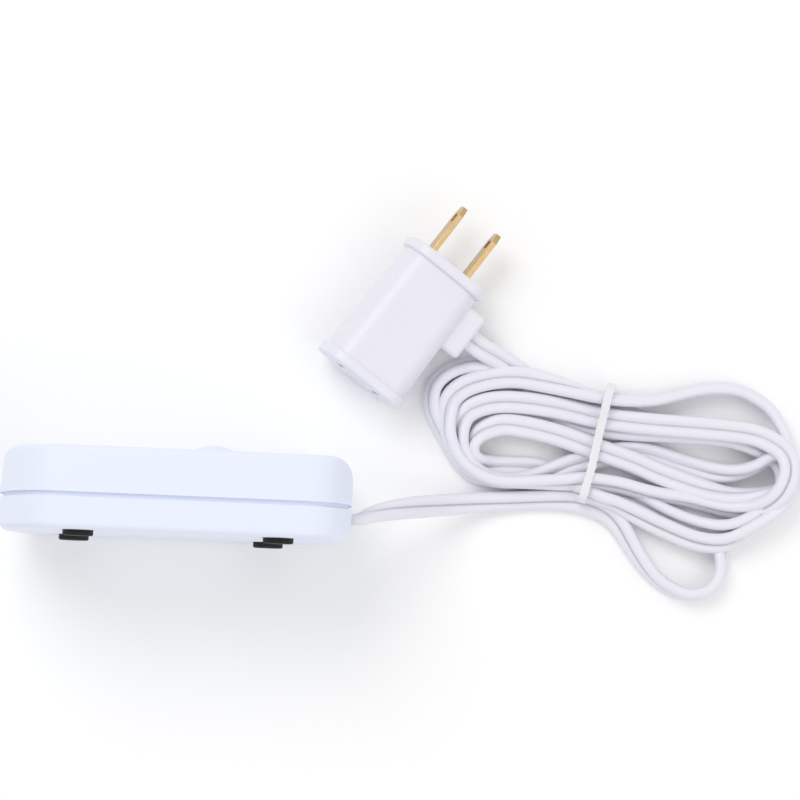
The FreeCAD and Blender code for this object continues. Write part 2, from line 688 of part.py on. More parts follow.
def make_controller():
    """Timer chip on two rows of legs."""
    chip = centred_box(CHIP_X, CHIP_Y, BOARD_TOP + CHIP_LIFT, CHIP_LENGTH, CHIP_WIDTH, CHIP_HEIGHT)
    leg_length = CHIP_LEG_REACH + CHIP_LEG_OVERLAP
    leg_y = CHIP_WIDTH / 2 - CHIP_LEG_OVERLAP + leg_length / 2
    for i in range(CHIP_LEG_COUNT):
        x = CHIP_X + (i - (CHIP_LEG_COUNT - 1) / 2) * CHIP_LEG_SPACING
        for side in (-1, 1):
            y = CHIP_Y + side * leg_y
            leg = centred_box(x, y, BOARD_TOP, CHIP_LEG_WIDTH, leg_length, CHIP_LEG_HEIGHT)
            chip = chip.fuse(leg)
    return chip.removeSplitter()


def make_lamps():
    lamps = []
    for x in LAMP_PLACES:
        barrel = post(x, 0, BOARD_TOP, BOARD_TOP + LAMP_HEIGHT - LAMP_DIAMETER / 2, LAMP_DIAMETER)
        tip = Part.makeSphere(LAMP_DIAMETER / 2, Vec(x, 0, BOARD_TOP + LAMP_HEIGHT - LAMP_DIAMETER / 2))
        rim = post(x, 0, BOARD_TOP, BOARD_TOP + LAMP_RIM_HEIGHT, LAMP_DIAMETER + 2 * LAMP_RIM_WIDTH)
        lamps.append(barrel.fuse(tip).fuse(rim).removeSplitter())
    return Part.makeCompound(lamps)


def make_lenses():
    """Light guides from the lamps to the top of the case, flush with it."""
    roof = CASE_HEIGHT - WALL
    lenses = []
    for x in LAMP_PLACES:
        pin = post(x, 0, BOARD_TOP + LAMP_HEIGHT + LAMP_GAP, CASE_HEIGHT, LAMP_DIAMETER)
        flange = post(x, 0, roof - LENS_FLANGE, roof, LAMP_DIAMETER + 2 * LENS_FLANGE)
        lenses.append(pin.fuse(flange).removeSplitter())
    return Part.makeCompound(lenses)


def make_terminals():
    tabs = []
    for side in (-1, 1):
        tab = centred_box(TERMINAL_X, side * TERMINAL_SPACING / 2, BOARD_TOP,
                          TERMINAL_SIZE, TERMINAL_SIZE, TERMINAL_THICKNESS)
        upright = [e for e in tab.Edges if abs(e.tangentAt(e.FirstParameter).z) > 0.99]
        tabs.append(tab.makeFillet(TERMINAL_CORNER_RADIUS, upright))
    return Part.makeCompound(tabs)


# Cord

def make_bushing():
    """Grommet that seats the cord in the end wall: a flange inside and a neck in the window."""
    window_low = BOTTOM_COVER_HEIGHT - EXIT_WINDOW_HEIGHT
    half = EXIT_WINDOW_WIDTH / 2 - BUSHING_FIT
    top = BOTTOM_COVER_HEIGHT - BUSHING_FIT
    neck = box(WINDOW_START_X, CASE_LENGTH / 2 - BUSHING_RECESS, -half, half, window_low + BUSHING_FIT, top)
    flange_half = BUSHING_FLANGE_WIDTH / 2
    flange = box(FLANGE_START_X, WINDOW_START_X, -flange_half, flange_half, WALL + BUSHING_FLOOR_GAP, top)
    hole = stadium(Vec(0, 0, EXIT_HEIGHT), Vec(0, 1, 0), Vec(0, 0, 1), CORD_WIDTH, CORD_THICKNESS)
    return neck.fuse(flange).cut(prism(hole, Vec(CASE_LENGTH, 0, 0))).removeSplitter()


def rounded_route(points, share=0.45):
    """Straight runs joined by tangent arcs, each as large as its two runs allow."""
    edges = []
    radii = []
    at = points[0]
    for i in range(1, len(points) - 1):
        before, corner, after = points[i - 1], points[i], points[i + 1]
        turn = (corner - before).getAngle(after - corner)
        shorter = min((corner - before).Length, (after - corner).Length)
        radius = share * shorter / math.tan(turn / 2)
        start, middle, end = corner_arc(before, corner, after, radius)
        edges.append(Part.LineSegment(at, start).toShape())
        edges.append(Part.Arc(start, middle, end).toShape())
        radii.append(radius)
        at = end
    edges.append(Part.LineSegment(at, points[-1]).toShape())
    return Part.Wire(edges), radii


def flat_tube(path, name, on_edge):
    """Flat cord along a path, on its edge or lying flat, checked against its section times its length."""
    first = path.OrderedEdges[0]
    start = first.valueAt(first.FirstParameter)
    heading = unit(first.tangentAt(first.FirstParameter))
    side = unit(heading.cross(Vec(0, 0, 1)))
    upright = unit(side.cross(heading))
    wide, thin = (upright, side) if on_edge else (side, upright)
    section = stadium(start, wide, thin, CORD_WIDTH, CORD_THICKNESS)
    tube = path.makePipeShell([section], True, False)
    expected = Part.Face(section).Area * path.Length
    print("%s: length %.1f, volume %.1f of %.1f, valid %s" % (
        name, path.Length, tube.Volume, expected, tube.isValid()))
    return tube


def hank_height(station):
    """Height of the cord's middle: low, up to the second layer along a run, and down at the end."""
    rise = HIGH_LAYER_Z - LOW_LAYER_Z
    climb_start = TURN_BACK_COUNT - 1
    if station <= climb_start:
        return LOW_LAYER_Z
    if station < CLIMB_END_COUNT:
        return LOW_LAYER_Z + rise * (station - climb_start) / (CLIMB_END_COUNT - climb_start)
    if station <= DESCENT_START_COUNT:
        return HIGH_LAYER_Z
    if station < DESCENT_END_COUNT:
        span = DESCENT_END_COUNT - DESCENT_START_COUNT
        return HIGH_LAYER_Z - rise * (station - DESCENT_START_COUNT) / span
    return LOW_LAYER_Z


def hank_point(station):
    """Place of the cord at one station: the lower layer winds inwards, the upper one out again."""
    if station <= TURN_BACK_COUNT:
        share = station / TURN_BACK_COUNT
        turns_in = FIRST_TURNS + (DEEPEST_TURNS - FIRST_TURNS) * share
    else:
        share = (STATION_COUNT - station) / (STATION_COUNT - TURN_BACK_COUNT)
        turns_in = DEEPEST_TURNS * share
    x, y, step_x, step_y = HANK_STATIONS[station % STATIONS_PER_TURN]
    return Vec(x + step_x * turns_in, y + step_y * turns_in, hank_height(station))


def arc_from_tangent(start, heading, end):
    """Arc that leaves its start along a heading."""
    chord = end - start
    along = unit(chord)
    angle = heading.getAngle(chord)
    if angle < 1e-4:
        return Part.LineSegment(start, end).toShape()
    across = unit(heading - along * heading.dot(along))
    middle = start + chord * 0.5 + across * (chord.Length / 2 * math.tan(angle / 2))
    return Part.Arc(start, middle, end).toShape()


def biarc(start, start_heading, end, end_heading):
    """Two tangent arcs between two places with given headings."""
    chord = end - start
    both = start_heading + end_heading
    a = 2 * (1 - start_heading.dot(end_heading))
    b = chord.dot(both)
    c = chord.dot(chord)
    reach = c / (2 * b) if a < 1e-9 else (math.sqrt(b * b + a * c) - b) / a
    joint = (start + end + (start_heading - end_heading) * reach) * 0.5
    first = arc_from_tangent(start, start_heading, joint)
    second = arc_from_tangent(end, end_heading * -1, joint)
    return first, second


def hank_line():
    """Points and headings of the hank, and the straight ends beyond them."""
    points = [hank_point(i) for i in range(STATION_COUNT + 1)]
    headings = []
    for i in range(len(points)):
        before = points[max(i - 1, 0)]
        after = points[min(i + 1, STATION_COUNT)]
        headings.append(unit(after - before))
    for i in (TURN_BACK_COUNT - 1, CLIMB_END_COUNT, DESCENT_START_COUNT, DESCENT_END_COUNT):
        headings[i] = unit(Vec(headings[i].x, headings[i].y, 0))
    headings[0] = unit(Vec(*HANK_START_HEADING, 0))
    headings[-1] = unit(Vec(*HANK_END_HEADING, 0))
    return points, headings


def hank_path():
    points, headings = hank_line()
    start = points[0] - headings[0] * END_STRAIGHT
    end = points[-1] + headings[-1] * END_STRAIGHT
    edges = [Part.LineSegment(start, points[0]).toShape()]
    for i in range(STATION_COUNT):
        edges.extend(biarc(points[i], headings[i], points[i + 1], headings[i + 1]))
    edges.append(Part.LineSegment(points[-1], end).toShape())
    return Part.Wire(Part.__sortEdges__(edges))


def least_gap(path, step):
    """Least gap between turns of a cord on its edge, measured between points along it."""
    places = path.discretize(Distance=step)
    apart = int(4 * CORD_WIDTH / step)
    straight_part = CORD_WIDTH - CORD_THICKNESS
    least = 1e9
    for i in range(len(places)):
        for j in range(i + apart, len(places)):
            flat = math.hypot(places[i].x - places[j].x, places[i].y - places[j].y)
            if flat > 3 * CORD_WIDTH:
                continue
            high = max(0.0, abs(places[i].z - places[j].z) - straight_part)
            least = min(least, math.hypot(flat, high) - CORD_THICKNESS)
    return least


def between(first, second, share):
    return first + (second - first) * share


def make_tie():
    """Flat strap once round the hank's waist, square to its runs and drawn in under the lowest turn."""
    far = hank_point(TIE_FAR_COUNT)
    near = between(hank_point(TIE_NEAR_COUNT), hank_point(TIE_NEAR_COUNT + 1), TIE_NEAR_SHARE)
    low = between(hank_point(TIE_LOW_COUNT), hank_point(TIE_LOW_COUNT + 1), TIE_NEAR_SHARE)
    across = unit(Vec(far.x - near.x, far.y - near.y, 0))
    span = (far - near).dot(across)
    low_place = (low - near).dot(across)
    reach = CORD_THICKNESS / 2 + TIE_GAP
    half_width = CORD_WIDTH / 2 + TIE_GAP
    inner_low = TABLE_GAP + TIE_THICKNESS
    bend = CORD_THICKNESS / 2
    inner = rounded_loop([
        Vec(0, low_place - reach, inner_low),
        Vec(0, span + reach, inner_low),
        Vec(0, span + reach, HIGH_LAYER_Z + half_width),
        Vec(0, -reach, HIGH_LAYER_Z + half_width),
        Vec(0, -reach, HIGH_LAYER_Z - half_width),
    ], [bend * 0.6, bend, bend, bend, bend * 0.6])
    outer = inner.makeOffset2D(TIE_THICKNESS)
    strap = Part.Face(outer).cut(Part.Face(inner)).extrude(Vec(TIE_WIDTH, 0, 0))
    strap.translate(Vec(-TIE_WIDTH / 2, 0, 0))
    lean = math.degrees(math.atan2(across.x, across.y))
    strap.rotate(Vec(0, 0, 0), Vec(0, 0, 1), -lean)
    strap.translate(Vec(near.x, near.y, 0))
    return strap


# Plug, modelled upright: blades up, cord boss towards +X

def plug_front_height():
    """Height of the front's middle when the rear plate, rolled over a little, rests on the table."""
    roll = math.radians(PLUG_ROLL_ANGLE)
    wide = PLUG_REAR_WIDTH / 2 - PLUG_REAR_CORNER
    thin = PLUG_REAR_THICKNESS / 2 - PLUG_REAR_CORNER
    rear_height = PLUG_REAR_CORNER + wide * math.sin(roll) + thin * math.cos(roll)
    return PLUG_TABLE_GAP + rear_height + PLUG_LENGTH * math.sin(math.radians(PLUG_PITCH_ANGLE))


def place_plug(shape):
    """Lays the plug on its side, rolled towards its cord, with its blades along their heading."""
    placed = shape.copy()
    origin = Vec(0, 0, 0)
    placed.rotate(origin, Vec(0, 0, 1), PLUG_ROLL_ANGLE)
    placed.rotate(origin, Vec(1, 0, 0), PLUG_PITCH_ANGLE - 90)
    placed.rotate(origin, Vec(0, 0, 1), PLUG_ANGLE - 90)
    placed.translate(Vec(PLUG_FRONT_X, PLUG_FRONT_Y, plug_front_height()))
    return placed


def oval(width, thickness, radius, z):
    x = width / 2
    y = thickness / 2
    corners = [Vec(-x, -y, z), Vec(x, -y, z), Vec(x, y, z), Vec(-x, y, z)]
    return rounded_loop(corners, [radius] * 4)


def conductor_heights():
    return BOSS_Z + CORE_SPACING / 2, BOSS_Z - CORE_SPACING / 2


def make_blade(side):
    half = BLADE_WIDTH / 2
    tip = BLADE_LENGTH
    root = -BLADE_ROOT if side > 0 else -BLADE_ROOT - CORE_SPACING - CORE_DIAMETER
    x = side * BLADE_X - BLADE_THICKNESS / 2
    outline = Part.makePolygon([
        Vec(x, -half, root),
        Vec(x, half, root),
        Vec(x, half, tip - 2 * BLADE_TIP_TAPER),
        Vec(x, half - BLADE_TIP_TAPER, tip),
        Vec(x, -half + BLADE_TIP_TAPER, tip),
        Vec(x, -half, tip - 2 * BLADE_TIP_TAPER),
        Vec(x, -half, root),
    ])
    blade = prism(outline, Vec(BLADE_THICKNESS, 0, 0))
    hole_z = BLADE_LENGTH - BLADE_HOLE_FROM_TIP
    hole = Part.makeCylinder(BLADE_HOLE / 2, 2 * BLADE_SPACING, Vec(-BLADE_SPACING, 0, hole_z), Vec(1, 0, 0))
    return blade.cut(hole)


def blade_slots(z0, z1):
    slots = [centred_box(side * BLADE_X, 0, z0, BLADE_THICKNESS, BLADE_WIDTH, z1 - z0) for side in (-1, 1)]
    return slots[0].fuse(slots[1])


def make_plug_front():
    outline = oval(PLUG_FRONT_WIDTH, PLUG_FRONT_THICKNESS, PLUG_FRONT_CORNER, BODY_TOP)
    plate = prism(outline, Vec(0, 0, PLUG_PLATE))
    rims = [e for e in plate.Edges if abs(e.tangentAt(e.FirstParameter).z) < 0.01]
    return plate.makeFillet(PLUG_PLATE_EDGE_RADIUS, rims).cut(blade_slots(BODY_TOP - 1, 1))


def make_plug_body():
    top = oval(PLUG_NECK_WIDTH, PLUG_NECK_THICKNESS, PLUG_BODY_CORNER, BODY_TOP)
    low = oval(PLUG_TAIL_WIDTH, PLUG_TAIL_THICKNESS, PLUG_BODY_CORNER, BODY_LOW)
    body = Part.makeLoft([top, low], True, True)
    half_thickness = BOSS_THICKNESS / 2
    half_length = BOSS_LENGTH / 2
    boss = box(0, BOSS_END_X, -half_thickness, half_thickness, BOSS_Z - half_length, BOSS_Z + half_length)
    boss = boss.makeFillet(BOSS_EDGE_RADIUS, [e for e in boss.Edges if e.CenterOfMass.x > 0.01])
    body = body.fuse(boss)
    double = 2 * PLUG_WALL
    corner = PLUG_BODY_CORNER - PLUG_WALL
    hollow_top_z = BODY_TOP - PLUG_WALL
    hollow_top = oval(PLUG_NECK_WIDTH - double, PLUG_NECK_THICKNESS - double, corner, hollow_top_z)
    hollow_low = oval(PLUG_TAIL_WIDTH - double, PLUG_TAIL_THICKNESS - double, corner, BODY_LOW)
    body = body.cut(Part.makeLoft([hollow_top, hollow_low], True, True))
    body = body.cut(blade_slots(BODY_TOP - 2 * PLUG_WALL, 1))
    for z in conductor_heights():
        body = body.cut(Part.makeCylinder(CORE_DIAMETER / 2, BOSS_END_X + 1, Vec(0, 0, z), Vec(1, 0, 0)))
    return body.removeSplitter()


def make_plug_rear():
    outline = oval(PLUG_REAR_WIDTH, PLUG_REAR_THICKNESS, PLUG_REAR_CORNER, -PLUG_LENGTH)
    plate = prism(outline, Vec(0, 0, PLUG_REAR_PLATE))
    rims = [e for e in plate.Edges if abs(e.tangentAt(e.FirstParameter).z) < 0.01]
    plate = plate.makeFillet(PLUG_PLATE_EDGE_RADIUS, rims)
    for side in (-1, 1):
        slot = centred_box(side * BLADE_X, 0, -PLUG_LENGTH - 1, SLOT_WIDTH, SLOT_HEIGHT, PLUG_REAR_PLATE + 2)
        plate = plate.cut(slot)
    return plate


def make_contact(side):
    """Spring contact behind one outlet slot: two leaves on a strap that stands on the blade's root."""
    x = side * BLADE_X
    outside = x + side * (BLADE_THICKNESS / 2 + CONTACT_LEAF / 2)
    root = BLADE_ROOT if side > 0 else BLADE_ROOT + CORE_SPACING + CORE_DIAMETER
    low = BODY_LOW + CONTACT_BACK_GAP
    strap = centred_box(outside, 0, low, CONTACT_LEAF, BLADE_WIDTH, -root + CONTACT_LAP - low)
    inner_leaf = centred_box(2 * x - outside, 0, low, CONTACT_LEAF, BLADE_WIDTH, CONTACT_LENGTH)
    bridge_z = low + CONTACT_LENGTH - CONTACT_LEAF
    bridge = centred_box(x, 0, bridge_z, BLADE_THICKNESS + CONTACT_LEAF, BLADE_WIDTH, CONTACT_LEAF)
    contact = strap.fuse(inner_leaf).fuse(bridge)
    if side > 0:
        for z in conductor_heights():
            r = CORE_DIAMETER / 2 + CONTACT_CORE_CLEARANCE
            contact = contact.cut(Part.makeCylinder(r, BOSS_END_X, Vec(0, 0, z), Vec(1, 0, 0)))
    return contact.removeSplitter()


def make_plug_conductors():
    near_z, far_z = conductor_heights()
    near_end = BLADE_X + BLADE_THICKNESS / 2
    far_end = -BLADE_X + BLADE_THICKNESS / 2
    r = CORE_DIAMETER / 2
    near = Part.makeCylinder(r, BOSS_END_X - near_end, Vec(near_end, 0, near_z), Vec(1, 0, 0))
    far = Part.makeCylinder(r, BOSS_END_X - far_end, Vec(far_end, 0, far_z), Vec(1, 0, 0))
    return Part.makeCompound([near, far])


# Cord stretches

def make_lead():
    exit_point = Vec(*CORD_EXIT)
    points, headings = hank_line()
    joint = points[-1] + headings[-1] * END_STRAIGHT
    route = [Vec(CORD_INNER_END_X, exit_point.y, exit_point.z), exit_point + Vec(EXIT_RUN, 0, 0)]
    route += [Vec(*p) for p in LEAD_ROUTE]
    route += [joint + headings[-1] * END_RUN, joint]
    path, radii = rounded_route(route)
    print("cord_from_case radii:", [round(r, 1) for r in radii])
    return flat_tube(path, "cord_from_case", True)


def make_tail():
    points, headings = hank_line()
    joint = points[0] - headings[0] * END_STRAIGHT
    boss = place_plug(Part.Vertex(BOSS_END_X, 0, BOSS_Z)).Point
    beyond = place_plug(Part.Vertex(BOSS_END_X + BOSS_RUN, 0, BOSS_Z)).Point
    route = [boss, beyond] + [Vec(*p) for p in TAIL_ROUTE] + [joint - headings[0] * TAIL_END_RUN, joint]
    path, radii = rounded_route(route)
    print("cord_to_plug radii:", [round(r, 1) for r in radii])
    return flat_tube(path, "cord_to_plug", False)


def make_hank():
    path = hank_path()
    print("cord_hank least gap to itself: %.2f" % least_gap(path, 2.0))
    return flat_tube(path, "cord_hank", True)


def make_inlet_cores():
    """Two insulated conductors from the end of the cord up to the board's terminals."""
    cores = []
    r = CORE_DIAMETER / 2
    for side in (-1, 1):
        y = side * CORD_WIDTH / 4
        top = BOARD_TOP + TERMINAL_THICKNESS + r
        path, _ = rounded_route([
            Vec(CORD_INNER_END_X, y, EXIT_HEIGHT),
            Vec(FLANGE_START_X - CORE_DIAMETER, y, EXIT_HEIGHT),
            Vec(BOARD_END_X, side * (TERMINAL_SPACING / 2 - CORE_SPREAD_BACK), top),
            Vec(TERMINAL_X, side * TERMINAL_SPACING / 2, top),
        ])
        section = Part.Wire(Part.makeCircle(r, Vec(CORD_INNER_END_X, y, EXIT_HEIGHT), Vec(-1, 0, 0)))
        cores.append(path.makePipeShell([section], True, False))
    return Part.makeCompound(cores)


def main():
    os.makedirs("parts", exist_ok=True)
    upright = {
        "bottom_cover": make_bottom_cover(),
        "top_cover": make_top_cover(),
        "case_screws": make_case_screws(),
        "board_screws": make_board_screws(),
        "button_cap": make_button_cap(),
        "switch_body": make_switch_body(),
        "switch_stem": make_switch_stem(),
        "switch_spring": make_switch_spring(),
        "circuit_board": make_board(),
        "relay": make_relay(),
        "film_capacitor": make_film_capacitor(),
        "electrolytic_capacitor": make_electrolytic_capacitor(),
        "varistor": make_varistor(),
        "fuse": make_fuse(),
        "rectifier_diodes": make_diodes(),
        "resistors": make_resistors(),
        "timer_chip": make_controller(),
        "indicator_lamps": make_lamps(),
        "lamp_lenses": make_lenses(),
        "solder_terminals": make_terminals(),
        "inlet_conductors": make_inlet_cores(),
        "cord_bushing": make_bushing(),
    }
    foot_names = ["foot_far_end_front", "foot_far_end_back", "foot_cord_end_front", "foot_cord_end_back"]
    for name, (x, y) in zip(foot_names, FOOT_PLACES):
        upright[name] = make_foot(x, y)
    for name, shape in upright.items():
        save(lay_on_side(shape), name)

    plug_parts = {
        "plug_front_plate": make_plug_front(),
        "plug_body": make_plug_body(),
        "plug_rear_plate": make_plug_rear(),
        "blade_line": make_blade(1),
        "blade_neutral": make_blade(-1),
        "outlet_contact_line": make_contact(1),
        "outlet_contact_neutral": make_contact(-1),
        "plug_conductors": make_plug_conductors(),
    }
    for name, shape in plug_parts.items():
        save(place_plug(shape), name)

    save(make_lead(), "cord_from_case")
    save(make_hank(), "cord_hank")
    save(make_tail(), "cord_to_plug")
    save(make_tie(), "cord_tie")


main()
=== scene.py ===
import json
import math

import bmesh
import bpy
from mathutils import Matrix, Vector

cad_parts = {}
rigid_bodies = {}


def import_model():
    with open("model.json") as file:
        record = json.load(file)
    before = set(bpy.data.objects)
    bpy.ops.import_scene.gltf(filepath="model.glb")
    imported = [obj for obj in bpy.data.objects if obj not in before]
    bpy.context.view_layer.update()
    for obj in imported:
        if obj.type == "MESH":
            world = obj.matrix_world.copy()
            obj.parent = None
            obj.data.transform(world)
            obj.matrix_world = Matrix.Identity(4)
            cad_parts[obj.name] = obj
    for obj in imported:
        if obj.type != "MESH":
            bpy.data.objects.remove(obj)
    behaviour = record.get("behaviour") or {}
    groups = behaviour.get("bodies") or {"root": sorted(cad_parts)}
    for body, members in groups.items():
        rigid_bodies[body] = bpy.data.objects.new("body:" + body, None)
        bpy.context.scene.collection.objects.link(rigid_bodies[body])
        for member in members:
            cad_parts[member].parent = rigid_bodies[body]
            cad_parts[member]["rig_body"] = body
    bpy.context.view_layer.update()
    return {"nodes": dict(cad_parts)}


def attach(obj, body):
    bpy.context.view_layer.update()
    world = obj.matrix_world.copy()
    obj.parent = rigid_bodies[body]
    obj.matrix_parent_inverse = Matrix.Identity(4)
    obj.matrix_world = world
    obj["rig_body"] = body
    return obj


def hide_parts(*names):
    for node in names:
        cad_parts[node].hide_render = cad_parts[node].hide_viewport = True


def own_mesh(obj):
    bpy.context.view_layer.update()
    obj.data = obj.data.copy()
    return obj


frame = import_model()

bl_info = {
    "name": "Plug-in light timer",
    "version": (1, 0, 0),
    "blender": (4, 5, 0),
    "location": "View3D > Sidebar > Light timer",
    "description": "Dresses the packed light timer with its finished pieces, cord and studio",
    "category": "Object",
}

MM = 0.001


# Places and sizes, in millimetres and in the shared frame, and angles in degrees

# The small radii on the edges of pieces that don't take the moulded edge of the panel's sizes
BUTTON_EDGE = 0.3
LIGHT_GUIDE_EDGE = 0.1
FOOT_EDGE = 0.2
SCREW_EDGE = 0.1
BUSHING_EDGE = 0.15
BLADE_EDGE = 0.2

# Copies of the solids: an edge sharper than this stays sharp, faces flatter than this become one face,
# and corners closer than this, in metres, become one corner
SHARP_ANGLE = 32
SPRING_SHARP_ANGLE = 60
FLAT_ANGLE = 0.6
MERGE_DISTANCE = 1e-6

# The plug: the middle of its front face, the way its blades point, how far that rises, and its roll
PLUG_FRONT = (76.8, 70.3, 12.86)
PLUG_HEADING = 54.4
PLUG_RISE = 1.5
PLUG_ROLL = 10.0

# Where the cord meets the plug's boss, with the blades along +Z, how far out it runs straight, and its
# lean there
BOSS_MOUTH = (18.5, 0.0, -13.0)
BOSS_RUN = 4.5
BOSS_LEAN = 84.0

# The cord's section: sides round each core, and where a core's round starts beside the groove, as a
# share of the angle at which the groove's floor would meet it. Then the steps between control points
CORE_SIDES = 11
GROOVE_SHARE = 0.45
CORD_SMOOTHNESS = 8

